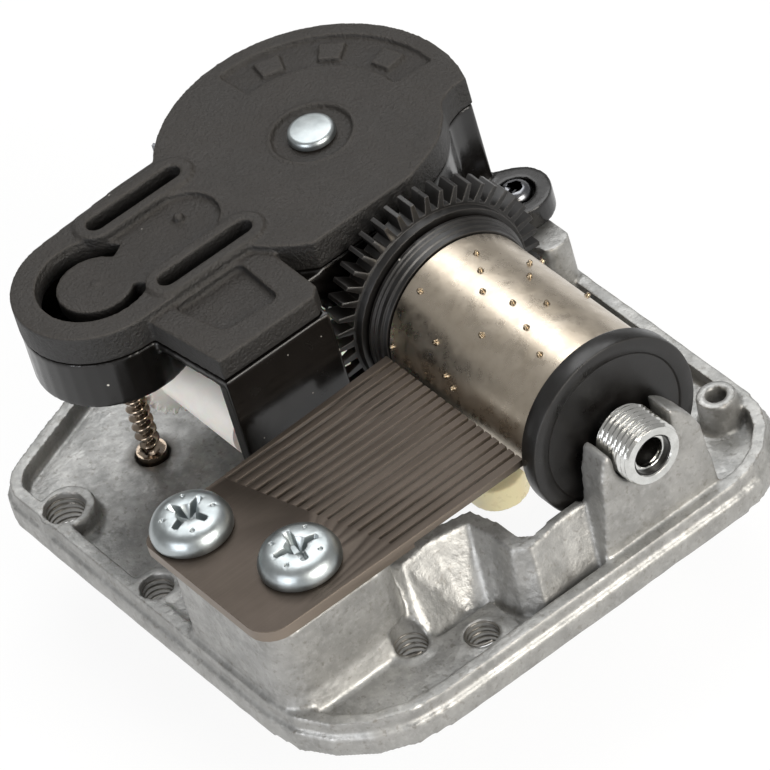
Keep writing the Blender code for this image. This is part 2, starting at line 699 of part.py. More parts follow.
def housing_cover():
    """The textured top cover with its rims, slots, spring tongue, recesses and the arbor's bearing hole."""
    low, top, chord = COVER_UNDER, COVER_TOP, CHORD_X - BARREL.x
    cover = slab([flattened(BARREL_RADIUS, chord)], low, top)
    cover = cut(cover, slab([notch()], low - 1, top + 1))
    cover = join(cover, slab([governor_bridge()], low, top), slab([wheel_cover()], low, top - 0.6))
    cover = cut(cover, slab([flattened(BARREL_RADIUS - 4.0, chord - 2.0)], low - 1, top - 1.5))
    outer, inner = arc(WORM.x, WORM.y, 4.4, 118, 402, 20), arc(WORM.x, WORM.y, 3.05, 402, 118, 16)
    cover = cut(cover, slab([outer + inner], low - 1, top + 1))
    cover = cut(cover, slab([circle(WORM.x, WORM.y, 5.0, 28)], low - 1, top - 1.6))
    neck_half = RIM_OFFSET - 1.7
    neck = [(WORM.x - neck_half, WORM.y + 2.0), (WORM.x + neck_half, WORM.y + 2.0)]
    neck += arc(WORM.x, WORM.y + 8.3, neck_half, 0, 180, 12)
    low, high = top - 0.5, top + 1
    recess = join(slab([circle(WORM.x, WORM.y, 4.5, 32)], low, high), slab([neck], low, high))
    cover = cut(cover, recess)
    for side in (-1, 1):
        x = WORM.x + side * RIM_OFFSET
        ends = (x, BARREL.y - 16.9), (x, BARREL.y - 9.8)
        cover = join(cover, slab([stadium(*ends, 1.7)], top - 0.9, top + 0.3))
        cover = cut(cover, slab([stadium(*ends, 0.75)], top - 1.6, top + 1))
    band = arc(BARREL.x, BARREL.y, 11.0, 86, 184, 12) + arc(BARREL.x, BARREL.y, 7.6, 184, 86, 10)
    cover = cut(cover, slab([band], top - 0.4, top + 1))
    cover = cut(cover, rod(3.1, top - 0.3, top + 1, BARREL.x, BARREL.y, sides=32))
    cover = cut(cover, rod(WINDING_RADIUS + RUN, low - 2, top + 1, BARREL.x, BARREL.y, sides=24))
    pocket = [(WALL_X1 - 7.5, BOX_Y0 + 1.2, 0.5), (WALL_X1 - 2.5, BOX_Y0 + 2.3, 0.7)]
    pocket += [(WALL_X1 - 2.1, BOX_Y0 + 7.2, 0.7), (WALL_X1 - 7.5, BOX_Y0 + 7.4, 0.5)]
    return cut(cover, slab([rounded(pocket)], top - 1.3, top + 1))


def housing():
    """The lower housing: barrel wall, governor cup, the box over the wheel train and the screw lug."""
    low, top, chord = HOUSING_BOTTOM, HOUSING_TOP, CHORD_X - BARREL.x
    cup_floor = top - CUP_HEIGHT
    wall = slab([flattened(BARREL_RADIUS - 0.08, chord)], low, top)
    wall = cut(wall, slab([notch(0.06)], low - 1, top + 1))
    cup = rod(GOVERNOR_RADIUS - 0.05, cup_floor, top - 0.05, WORM.x, WORM.y, sides=36)
    link = box(BARREL.x - 7.2, WORM.x + 2, WORM.y + 2, BARREL.y - 10.9, cup_floor + 0.1, top - 0.1)
    roof = slab([wheel_cover()], top - 0.9, top - 0.15)
    side = box(WALL_X0, WALL_X1, BOX_Y0, BOX_Y1, low, top - 0.2)
    rib = box(CHORD_X - 1.0, CHORD_X, FIRST_AXLE_Y - 1.8, BARREL.y - 6, AXIS_HEIGHT - 2, top - 0.2)
    hanger = box(WORM.x - 2.9, WORM.x - 1.6, SECOND_AXLE_Y - 1.3, SECOND_AXLE_Y + 1.3,
                 SECOND_AXLE_Z - 1.2, cup_floor + 0.3)
    lug = slab([stadium((BARREL.x + 4.6, BARREL.y + 7.6), (POST.x, POST.y), LUG_RADIUS)],
               POST_TOP + GAP, POST_TOP + GAP + LUG_THICKNESS)
    body = join(wall, cup, link, roof, side, rib, hanger, lug)
    inside = slab([flattened(BARREL_RADIUS - HOUSING_WALL, chord - 1.0)], low - 1, top + 1)
    inside = cut(inside, slab([notch(NOTCH_WALL)], low - 2, top + 2))
    governor_room = rod(GOVERNOR_RADIUS - CUP_WALL, cup_floor + CUP_WALL, top + 1, WORM.x, WORM.y, sides=40)
    worm_hole = rod(WORM_OUTER + 0.5, cup_floor - 1, top, WORM.x, WORM.y, sides=20)
    half_face = WORM_WHEEL_FACE / 2 + GAP
    wheel_room = rod(WORM_WHEEL_TIP + GAP, WORM.x - half_face, WORM.x + half_face,
                     0, SECOND_AXLE_Y, SECOND_AXLE_Z, "X", 24)
    body = cut(body, inside, governor_room, worm_hole, wheel_room)
    body = cut(body, rod(LUG_SHANK + RUN, POST_TOP, POST_TOP + 3, POST.x, POST.y, sides=16))
    lug_top = POST_TOP + GAP + LUG_THICKNESS
    body = cut(body, rod(LUG_HEAD + RUN, lug_top, POST_TOP + 4, POST.x, POST.y, sides=24))
    for y, z, first, last, radius in (
        (FIRST_AXLE_Y, AXIS_HEIGHT, CHORD_X - 2, WALL_X0 + 0.8, AXLE_RADIUS + RUN),
        (SECOND_AXLE_Y, SECOND_AXLE_Z, WORM.x - 2.3, WALL_X0 + 0.8, AXLE_RADIUS + RUN),
        (AXIS_Y, AXIS_HEIGHT, CHORD_X - 2, CHORD_X + 1, BEARING_RADIUS + RUN),
    ):
        body = cut(body, rod(radius, first, last, 0, y, z, axis="X", sides=16))
    heading = math.radians(TAB_HEADING)
    tab_slot = box(BARREL_RADIUS - 2.5, BARREL_RADIUS + 1, -1.0, 1.0, top - 3.0, top + 1)
    turn = Matrix.Translation(BARREL) @ Matrix.Rotation(heading, 4, "Z")
    return cut(body, moved(tab_slot, turn))


# ---------------------------------------------------------------- bush, bearings and the spring
def threaded_bush():
    """The bright bush in the ear: thread ridges outside, a plain bore inside."""
    x0, x1 = EAR_X0 + 0.1, EAR_X1 + BUSH_PROUD
    outer, pitch = BUSH_RADIUS, 0.8
    profile = [(outer - 0.35, x1)]
    turns = int((x1 - x0 - 0.6) / pitch)
    for i in range(turns):
        top = x1 - 0.2 - i * pitch
        profile += [(outer, top - 0.2), (outer - 0.2, top - 0.6)]
    throat, bottom = x1 - BUSH_BORE_DEPTH, x1 - BUSH_THROAT_DEPTH
    profile += [(outer - 0.2, x0), (ARBOR_RADIUS + RUN, x0), (ARBOR_RADIUS + RUN, bottom)]
    profile += [(BUSH_THROAT, bottom), (BUSH_THROAT, throat), (BUSH_BORE, throat), (BUSH_BORE, x1)]
    return turned(profile, 24, "X", (0, AXIS_Y, AXIS_HEIGHT), closed=True)


def ring(outer, inner, low, high, x, y, z=0.0, axis="Z", steps=32):
    """A plain ring between two heights on an axis."""
    profile = [(outer, high), (outer, low), (inner, low), (inner, high)]
    return turned(profile, steps, axis, (x, y, z), closed=True)


def spiral(inner, outer, turns, steps):
    """Points on a spiral from its inner end to its outer end."""
    count = int(turns * steps)
    points = []
    for i in range(count + 1):
        share = i / count
        angle = math.radians(TAB_HEADING) - 2 * math.pi * turns * (1 - share)
        radius = inner + (outer - inner) * share
        points.append((radius * math.cos(angle), radius * math.sin(angle)))
    return points


def mainspring():
    """The coiled steel strip with its outer end bent out through the housing's wall as a tab."""
    half = SPRING_STRIP / 2
    line = spiral(WINDING_RADIUS + 1.0, SPRING_OUTER, 5, 18)
    heading = math.radians(TAB_HEADING)
    outward, inward = [], []
    for i, point in enumerate(line):
        before, after = Vector(line[max(i - 1, 0)]), Vector(line[min(i + 1, len(line) - 1)])
        normal = (after - before).normalized()
        normal = Vector((normal.y, -normal.x))
        outward.append(tuple(Vector(point) + normal * half))
        inward.append(tuple(Vector(point) - normal * half))
    coil = slab([shifted(outward + inward[::-1], BARREL.x, BARREL.y)], SPRING_BOTTOM, SPRING_TOP)
    tab = box(SPRING_OUTER - 0.2, BARREL_RADIUS + TAB_LENGTH, -half, half, SPRING_TOP - 2.2, SPRING_TOP)
    turn = Matrix.Translation(BARREL) @ Matrix.Rotation(heading, 4, "Z")
    return join(coil, moved(tab, turn))


def pivot_cup():
    """The small oiled cup in the floor that the worm's point turns in."""
    low, high = PLATE_FLOOR - 0.4, PLATE_FLOOR + 0.5
    profile = [(0, high - 0.5), (0.5, high - 0.3), (0.75, high), (CUP_SEAT, high), (CUP_SEAT, low), (0, low)]
    return turned(profile, 24, "Z", (WORM.x, WORM.y, 0))


# ---------------------------------------------------------------- the pinned cylinder
def sleeve():
    """The nickel-plated tube with its music pins."""
    x0, x1 = SLEEVE_X0, FLANGE_X0 - GAP
    body = ring(SLEEVE_RADIUS, SLEEVE_RADIUS - SLEEVE_WALL, x0, x1, 0, AXIS_Y, AXIS_HEIGHT, "X", 48)
    bm = bmesh.new()
    for track, angle in MELODY:
        x = COMB_X0 + (track + 0.5) * COMB_PITCH
        made = bmesh.ops.create_cone(bm, cap_ends=True, segments=5, radius1=PIN_RADIUS,
                                     radius2=PIN_RADIUS * 0.7, depth=PIN_HEIGHT + 0.2)
        out = Matrix.Translation((0, 0, SLEEVE_RADIUS + PIN_HEIGHT / 2 - 0.1))
        place = Matrix.Translation((x, AXIS_Y, AXIS_HEIGHT))
        turn = place @ Matrix.Rotation(math.radians(angle - 90), 4, "X") @ out
        bmesh.ops.transform(bm, matrix=turn, verts=made["verts"])
    return join(body, from_bmesh(bm))


def cylinder_gear():
    """The black driving gear: long straight teeth, then a chamfer down to its hub."""
    outline = gear_outline(CYLINDER_TEETH, CYLINDER_MODULE, 0.71, 0.75, math.pi / 2)
    teeth = upright([outline], GEAR_X0, GEAR_X1)
    hub = rod(COLLAR_RADIUS - 0.35, GEAR_X0 + 0.2, GEAR_X1 + 0.7, axis="X", sides=44)
    dish = rod(5.2, GEAR_X0 - 1, GEAR_X0 + 0.6, axis="X", sides=32)
    bore = rod(ARBOR_RADIUS + RUN, GEAR_X0 - 1, GEAR_X1 + 2, axis="X", sides=20)
    gear = cut(join(teeth, hub), dish, bore)
    return moved(gear, Matrix.Translation((0, AXIS_Y, AXIS_HEIGHT)))


def cylinder_collar():
    """The grooved black collar between the gear and the sleeve, with a spigot inside the sleeve."""
    x0, x1 = GEAR_X1 + 0.7 + GAP, SLEEVE_X0 - 0.1
    inside = SLEEVE_RADIUS - SLEEVE_WALL - RUN
    profile = [(ARBOR_RADIUS + RUN, x1 + 1.6), (inside, x1 + 1.6), (inside, x1), (SLEEVE_RADIUS + 0.15, x1)]
    profile += [(SLEEVE_RADIUS + 0.2, x1 - 0.5), (COLLAR_RADIUS - 0.9, x1 - 0.7), (COLLAR_RADIUS - 0.8, x0)]
    profile += [(ARBOR_RADIUS + RUN, x0)]
    return turned(profile, 36, "X", (0, AXIS_Y, AXIS_HEIGHT), closed=True)


def cylinder_flange():
    """The black end flange, dished on its outer face, with a spigot inside the sleeve."""
    x0, x1 = FLANGE_X0, FLANGE_X1
    inside = SLEEVE_RADIUS - SLEEVE_WALL - RUN
    profile = [(ARBOR_RADIUS + RUN, x1), (2.1, x1), (2.3, x1 - 0.5), (FLANGE_RADIUS - 1.2, x1 - 0.5)]
    profile += [(FLANGE_RADIUS - 1.0, x1), (FLANGE_RADIUS - 0.15, x1), (FLANGE_RADIUS, x1 - 0.15)]
    profile += [(FLANGE_RADIUS, x0 + 0.1), (FLANGE_RADIUS - 0.1, x0), (inside, x0), (inside, x0 - 1.6)]
    profile += [(ARBOR_RADIUS + RUN, x0 - 1.6)]
    return turned(profile, 40, "X", (0, AXIS_Y, AXIS_HEIGHT), closed=True)


# ---------------------------------------------------------------- the wheel train
def first_pinion():
    """The nylon pinion that the cylinder's gear drives, with its larger wheel beside it."""
    y, z = FIRST_AXLE_Y, AXIS_HEIGHT
    mesh_phase = math.pi / FIRST_PINION_TEETH
    small = gear_outline(FIRST_PINION_TEETH, CYLINDER_MODULE, 0.36, 0.9, mesh_phase, 0.14, 0.4)
    large = gear_outline(FIRST_WHEEL_TEETH, SECOND_MODULE, 0.26, 0.42, train_phase()[0], 0.26, 0.52)
    body = upright([shifted(small, y, z)], FIRST_WHEEL_X + 0.3, WALL_X0 - 0.25)
    body = join(body, upright([shifted(large, y, z)], FIRST_WHEEL_X, FIRST_WHEEL_X + WHEEL_FACE))
    return cut(body, rod(AXLE_RADIUS + 0.05, FIRST_WHEEL_X - 1, WALL_X0 + 1, 0, y, z, "X", 16))


def train_phase():
    """The turn of the two meshing wheels that puts a tooth of one into a gap of the other."""
    heading = math.atan2(SECOND_AXLE_Z - AXIS_HEIGHT, SECOND_AXLE_Y - FIRST_AXLE_Y)
    return heading, heading + math.pi + math.pi / SECOND_PINION_TEETH


def drum_wheel():
    """The nylon drum: a worm wheel at one end, a plain barrel and a small pinion at the other."""
    y, z = SECOND_AXLE_Y, SECOND_AXLE_Z
    pitch_module = 2 * (WORM_WHEEL_TIP - 0.22) / WORM_WHEEL_TEETH
    worm_teeth = gear_outline(WORM_WHEEL_TEETH, pitch_module, 0.22, 0.3, math.pi, 0.24, 0.55)
    small = gear_outline(SECOND_PINION_TEETH, SECOND_MODULE, 0.24, 0.42, train_phase()[1], 0.22, 0.5)
    half = WORM_WHEEL_FACE / 2
    body = upright([shifted(worm_teeth, y, z)], WORM.x - half, WORM.x + half)
    body = join(body, rod(DRUM_RADIUS, WORM.x, FIRST_WHEEL_X - GAP, 0, y, z, "X", 36))
    body = join(body, upright([shifted(small, y, z)], WORM.x + 2, FIRST_WHEEL_X + WHEEL_FACE + 0.2))
    return cut(body, rod(AXLE_RADIUS + 0.05, WORM.x - 3, WALL_X0 + 1, 0, y, z, "X", 16))


def worm():
    """The steel worm: a thread wound round a thin spindle with a point at its foot."""
    pitch_radius = WORM_WHEEL_TIP - 0.22
    lead = 2 * math.pi * pitch_radius / WORM_WHEEL_TEETH
    low, high, steps = PLATE_FLOOR + 0.9, HOUSING_TOP - CUP_HEIGHT - 1.0, 10
    start = SECOND_AXLE_Z + lead / 2
    first = math.ceil((low - start) / lead * steps)
    last = math.floor((high - start) / lead * steps)
    thread = []
    for i in range(first, last + 1):
        angle = math.pi / 2 + 2 * math.pi * i / steps
        radius = WORM_OUTER - WORM_THREAD
        thread.append((WORM.x + radius * math.cos(angle), WORM.y + radius * math.sin(angle),
                       start + lead * i / steps))
    profile = [(0, HOUSING_TOP - 0.6), (WORM_ROOT * 0.8, HOUSING_TOP - 0.6), (WORM_ROOT, HOUSING_TOP - 1.0)]
    profile += [(WORM_ROOT, PLATE_FLOOR + 0.8), (0.12, PLATE_FLOOR + 0.3), (0, PLATE_FLOOR + 0.3)]
    spindle = turned(profile, 10, "Z", (WORM.x, WORM.y, 0))
    return join(spindle, wire(thread, WORM_THREAD))


# ---------------------------------------------------------------- the winding side
def great_wheel():
    """The crown wheel under the mainspring: a disc with teeth that stand up at its rim."""
    inner = CROWN_OUTER - CROWN_WIDTH
    base = rod(CROWN_OUTER, WHEEL_BOTTOM, CROWN_ROOT, BARREL.x, BARREL.y, sides=58)
    pitch = 2 * math.pi / CROWN_TEETH
    bm = bmesh.new()
    for i in range(CROWN_TEETH):
        made = bmesh.ops.create_cone(bm, cap_ends=True, segments=4, radius1=CROWN_FOOT * math.sqrt(0.5),
                                     radius2=CROWN_CREST * math.sqrt(0.5), depth=CROWN_HEIGHT + 0.2)
        square = Matrix.Rotation(math.pi / 4, 4, "Z")
        stretch = Matrix.Diagonal(((CROWN_WIDTH - 0.04) / CROWN_FOOT, 1, 1, 1))
        out = Matrix.Translation(((inner + CROWN_OUTER) / 2, 0, CROWN_ROOT - 0.2 + (CROWN_HEIGHT + 0.2) / 2))
        step = Matrix.Rotation(pitch * (i + 0.5), 4, "Z")
        turn = Matrix.Translation(BARREL) @ step @ out @ stretch @ square
        bmesh.ops.transform(bm, matrix=turn, verts=made["verts"])
    wheel = join(base, from_bmesh(bm))
    return cut(wheel, rod(WINDING_RADIUS + RUN, -PAN_DROP, CROWN_TIP, BARREL.x, BARREL.y, sides=24))


def clutch_spring():
    """The coil round the winding arbor that lets the great wheel slip one way only."""
    points = []
    for i in range(int(4.5 * 12) + 1):
        angle = 2 * math.pi * i / 12
        points.append((BARREL.x + 2.1 * math.cos(angle), BARREL.y + 2.1 * math.sin(angle),
                       CROWN_ROOT + GAP + 0.35 + i / 12 * 0.62))
    return wire(points, 0.24)


def winding_arbor():
    """The vertical arbor: riveted head over the cover, plain shaft, and the key's end below the pan."""
    top, low = COVER_TOP + 0.55, -PAN_DROP - KEY_DROP + 1.4
    profile = [(0, top), (1.1, top - 0.05), (1.6, top - 0.25), (1.85, top - 0.55), (1.85, COVER_TOP - 0.2)]
    profile += [(WINDING_RADIUS, COVER_TOP - 0.2), (WINDING_RADIUS, -PAN_DROP - 0.6)]
    profile += [(WINDING_RADIUS - 0.2, -PAN_DROP - 0.7), (WINDING_RADIUS - 0.2, low), (0, low)]
    return turned(profile, 32, "Z", BARREL)


def winding_key():
    """The key: a socket on the arbor and a round-ended bar across it."""
    top, bottom = -PAN_DROP - 0.8, -PAN_DROP - KEY_DROP
    bar = slab([stadium((BARREL.x - KEY_HALF_SPAN + KEY_BAR_WIDTH / 2, BARREL.y),
                        (BARREL.x + KEY_HALF_SPAN - KEY_BAR_WIDTH / 2, BARREL.y), KEY_BAR_WIDTH / 2, 12)],
               bottom - KEY_BAR_THICKNESS / 2, bottom + KEY_BAR_THICKNESS / 2)
    socket = rod(2.6, bottom, top, BARREL.x, BARREL.y, sides=32, end_radius=2.3)
    key = join(bar, socket)
    return cut(key, rod(WINDING_RADIUS, bottom + 1.0, top + 1, BARREL.x, BARREL.y, sides=24))


# ---------------------------------------------------------------- assembly
def build():
    """Make every piece, on its own empty where it moves."""
    clear_scene()
    parts = collection("musical_movement")
    zinc = material("die_cast_zinc", (0.36, 0.36, 0.35), 0.5, 0.8)
    comb_steel = material("comb_steel", (0.14, 0.115, 0.095), 0.45, 0.85)
    lead = material("lead", (0.13, 0.13, 0.14), 0.7, 0.6)
    zinc_plate = material("bright_zinc_plate", (0.68, 0.72, 0.76), 0.22, 1.0)
    textured = material("textured_black_plastic", (0.030, 0.027, 0.024), 0.65)
    black = material("smooth_black_plastic", (0.012, 0.011, 0.010), 0.3)
    nickel = material("nickel_plate", (0.75, 0.70, 0.63), 0.16, 1.0)
    steel = material("bright_steel", (0.55, 0.53, 0.5), 0.25, 1.0)
    spring_steel = material("spring_steel", (0.2, 0.21, 0.24), 0.3, 1.0)
    nylon = material("white_nylon", (0.72, 0.68, 0.62), 0.4)
    brass = material("brass", (0.6, 0.42, 0.16), 0.3, 1.0)
    cream = material("cream_plastic", (0.78, 0.68, 0.42), 0.35)

    cylinder = pivot("cylinder_axis", (0, AXIS_Y, AXIS_HEIGHT), parts)
    winding = pivot("winding_axis", BARREL, parts)
    crown = pivot("great_wheel_axis", BARREL + Vector((0, 0, CROWN_ROOT)), parts)
    first = pivot("first_axle_axis", (FIRST_WHEEL_X, FIRST_AXLE_Y, AXIS_HEIGHT), parts)
    second = pivot("second_axle_axis", (WORM.x, SECOND_AXLE_Y, SECOND_AXLE_Z), parts)
    governor = pivot("governor_axis", WORM, parts)
    cylinder_at = (0, AXIS_Y, AXIS_HEIGHT)
    first_at = (FIRST_WHEEL_X, FIRST_AXLE_Y, AXIS_HEIGHT)
    second_at = (WORM.x, SECOND_AXLE_Y, SECOND_AXLE_Z)

    piece("bedplate", bedplate(), zinc, parts)
    piece("steel_comb", comb(), comb_steel, parts, origin=(COMB_X0, COMB_Y0, COMB_TOP))
    for i in range(WEIGHTED_TEETH):
        weight_at = (COMB_X0 + (i + 0.5) * COMB_PITCH, COMB_TIP_Y, COMB_TOP)
        piece(f"lead_weight_{i + 1}", lead_weight(i), lead, parts, origin=weight_at)
    for i, spot in enumerate(COMB_SCREWS):
        seat = (spot.x, spot.y, COMB_TOP + 0.05)
        screw = moved(pan_screw(SCREW_HEAD, 1.75, SCREW_SHANK, 5.5), Matrix.Translation(seat))
        piece(f"comb_screw_{i + 1}", screw, zinc_plate, parts, origin=seat)
    piece("housing_cover", housing_cover(), textured, parts, origin=BARREL + Vector((0, 0, COVER_UNDER)))
    piece("spring_housing", housing(), black, parts, origin=BARREL + Vector((0, 0, HOUSING_BOTTOM)))
    seat = (POST.x, POST.y, POST_TOP + GAP + LUG_THICKNESS + 0.05)
    screw = moved(pan_screw(LUG_HEAD, 1.1, LUG_SHANK, 4.5), Matrix.Translation(seat))
    piece("housing_screw", screw, spring_steel, parts, origin=seat)
    piece("threaded_bush", threaded_bush(), steel, parts, origin=(EAR_X0, AXIS_Y, AXIS_HEIGHT))
    bearing = ring(BEARING_RADIUS, ARBOR_RADIUS + RUN, CHORD_X - 0.95, CHORD_X + 0.25,
                   0, AXIS_Y, AXIS_HEIGHT, "X", 24)
    piece("gear_end_bearing", bearing, brass, parts, origin=(CHORD_X, AXIS_Y, AXIS_HEIGHT))
    piece("mainspring", mainspring(), spring_steel, parts, origin=BARREL + Vector((0, 0, SPRING_BOTTOM)))
    piece("worm_pivot_cup", pivot_cup(), brass, parts, origin=WORM + Vector((0, 0, PLATE_FLOOR)))

    piece("cylinder_sleeve", sleeve(), nickel, parts, cylinder, cylinder_at)
    piece("cylinder_gear", cylinder_gear(), black, parts, cylinder, cylinder_at)
    piece("cylinder_collar", cylinder_collar(), black, parts, cylinder, cylinder_at)
    piece("cylinder_flange", cylinder_flange(), black, parts, cylinder, cylinder_at)
    arbor_end = EAR_X1 + BUSH_PROUD - BUSH_THROAT_DEPTH + GAP
    arbor = rod(ARBOR_RADIUS, CHORD_X - 0.8, arbor_end, 0, AXIS_Y, AXIS_HEIGHT, "X", 20)
    piece("cylinder_arbor", arbor, steel, parts, cylinder, cylinder_at)

    piece("first_wheel", first_pinion(), nylon, parts, first, first_at)
    axle = rod(AXLE_RADIUS, CHORD_X - 1.2, WALL_X0 + 0.6, 0, FIRST_AXLE_Y, AXIS_HEIGHT, "X", 16)
    piece("first_axle", axle, steel, parts, first, first_at)
    piece("drum_wheel", drum_wheel(), nylon, parts, second, second_at)
    axle = rod(AXLE_RADIUS, WORM.x - 2.2, WALL_X0 + 0.6, 0, SECOND_AXLE_Y, SECOND_AXLE_Z, "X", 16)
    piece("drum_axle", axle, steel, parts, second, second_at)

    piece("governor_worm", worm(), steel, parts, governor, WORM)
    fly_low = HOUSING_TOP - CUP_HEIGHT + CUP_WALL + 0.35
    hub = ring(1.3, WORM_ROOT + 0.05, fly_low, fly_low + 1.5, WORM.x, WORM.y, steps=24)
    piece("fly_hub", hub, brass, parts, governor, WORM)
    for i, side in enumerate((-1, 1)):
        inner, outer = sorted((side * 1.45, side * FLY_REACH))
        vane = box(WORM.x + inner, WORM.x + outer, WORM.y - 0.2, WORM.y + 0.2, fly_low, fly_low + FLY_HEIGHT)
        piece(f"fly_vane_{i + 1}", vane, nylon, parts, governor, WORM)

    crown_at = BARREL + Vector((0, 0, CROWN_ROOT))
    piece("great_wheel", great_wheel(), nylon, parts, crown, crown_at)
    piece("clutch_spring", clutch_spring(), spring_steel, parts, crown, crown_at)
    piece("winding_arbor", winding_arbor(), nickel, parts, winding, BARREL)
    piece("winding_key", winding_key(), cream, parts, winding, BARREL)


build()
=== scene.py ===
"""The looks of a spring-wound musical movement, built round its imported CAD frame.

Design lengths are in millimetres, in the frame's own axes: +X along the pinned cylinder towards its bush,
+Y from the comb to the spring barrel, +Z up.  A piece is turned to metres when it is placed.
"""

import json
import logging
import math
from collections.abc import Callable, Sequence
from dataclasses import dataclass, field
from enum import Enum
from typing import Any

import bmesh
import bpy
from mathutils import Matrix, Vector, noise

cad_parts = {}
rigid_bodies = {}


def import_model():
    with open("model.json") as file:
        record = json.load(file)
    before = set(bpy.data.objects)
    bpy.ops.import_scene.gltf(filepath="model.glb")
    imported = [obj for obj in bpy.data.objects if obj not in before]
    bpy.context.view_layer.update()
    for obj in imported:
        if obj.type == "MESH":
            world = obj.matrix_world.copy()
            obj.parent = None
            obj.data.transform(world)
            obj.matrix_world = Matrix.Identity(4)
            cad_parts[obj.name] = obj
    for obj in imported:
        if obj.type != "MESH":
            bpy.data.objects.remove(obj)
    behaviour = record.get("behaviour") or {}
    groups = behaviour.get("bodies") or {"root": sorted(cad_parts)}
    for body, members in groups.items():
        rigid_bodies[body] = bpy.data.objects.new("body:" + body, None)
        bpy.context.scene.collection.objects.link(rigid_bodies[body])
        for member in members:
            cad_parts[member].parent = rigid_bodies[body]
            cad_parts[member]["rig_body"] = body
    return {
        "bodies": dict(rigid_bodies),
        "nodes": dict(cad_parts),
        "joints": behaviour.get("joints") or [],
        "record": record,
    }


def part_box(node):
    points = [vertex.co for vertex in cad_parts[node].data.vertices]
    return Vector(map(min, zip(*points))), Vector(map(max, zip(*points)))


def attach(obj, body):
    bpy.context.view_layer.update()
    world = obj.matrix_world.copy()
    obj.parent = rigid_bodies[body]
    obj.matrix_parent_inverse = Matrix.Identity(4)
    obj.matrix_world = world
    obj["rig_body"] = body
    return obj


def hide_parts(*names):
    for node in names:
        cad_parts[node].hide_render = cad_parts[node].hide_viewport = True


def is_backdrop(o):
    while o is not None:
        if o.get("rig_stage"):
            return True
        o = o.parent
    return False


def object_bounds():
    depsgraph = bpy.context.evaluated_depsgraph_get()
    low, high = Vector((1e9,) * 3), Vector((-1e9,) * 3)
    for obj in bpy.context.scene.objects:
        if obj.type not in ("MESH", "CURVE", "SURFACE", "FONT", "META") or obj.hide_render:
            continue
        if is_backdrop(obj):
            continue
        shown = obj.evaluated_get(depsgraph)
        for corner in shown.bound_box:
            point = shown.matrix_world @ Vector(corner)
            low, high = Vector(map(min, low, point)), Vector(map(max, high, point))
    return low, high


Socket, Mesh, Object = bpy.types.NodeSocket, bpy.types.Mesh, bpy.types.Object
LOG = logging.getLogger("movement")
MM = 0.001
SMOOTH_ANGLE = math.radians(34)
ORIGIN = Vector((0, 0, 0))


class Axis(Enum):
    """The line that a turned piece is turned about."""

    X = "X"
    Z = "Z"


# -------------------------------------------------------------------------------- shader helpers
def linear(hex_colour: str) -> tuple[float, float, float, float]:
    """Turn an sRGB colour into the linear one that shaders use.

    Args:
        hex_colour: six hex digits after a hash sign.

    Returns:
        Red, green, blue and an alpha of one.
    """
    parts = [int(hex_colour[i : i + 2], 16) / 255 for i in (1, 3, 5)]
    red, green, blue = (p / 12.92 if p <= 0.04045 else ((p + 0.055) / 1.055) ** 2.4 for p in parts)
    return red, green, blue, 1.0


def add_node(
    tree: bpy.types.NodeTree,
    kind: str,
    settings: dict[str | int, Any] | None = None,
    links: dict[str | int, Socket] | None = None,
) -> bpy.types.Node:
    """Add one shader node.

    Args:
        tree: the node tree that gets it.
        kind: the node's type name.
        settings: attributes of the node, then values of its inputs by name or number.
        links: for an input by name or number, the output that feeds it.

    Returns:
        The new node.
    """
    node = tree.nodes.new(kind)
    for key, value in (settings or {}).items():
        if isinstance(key, str) and key not in node.inputs:
            setattr(node, key, value)
        else:
            node.inputs[key].default_value = value
    for key, socket in (links or {}).items():
        tree.links.new(socket, node.inputs[key])
    return node


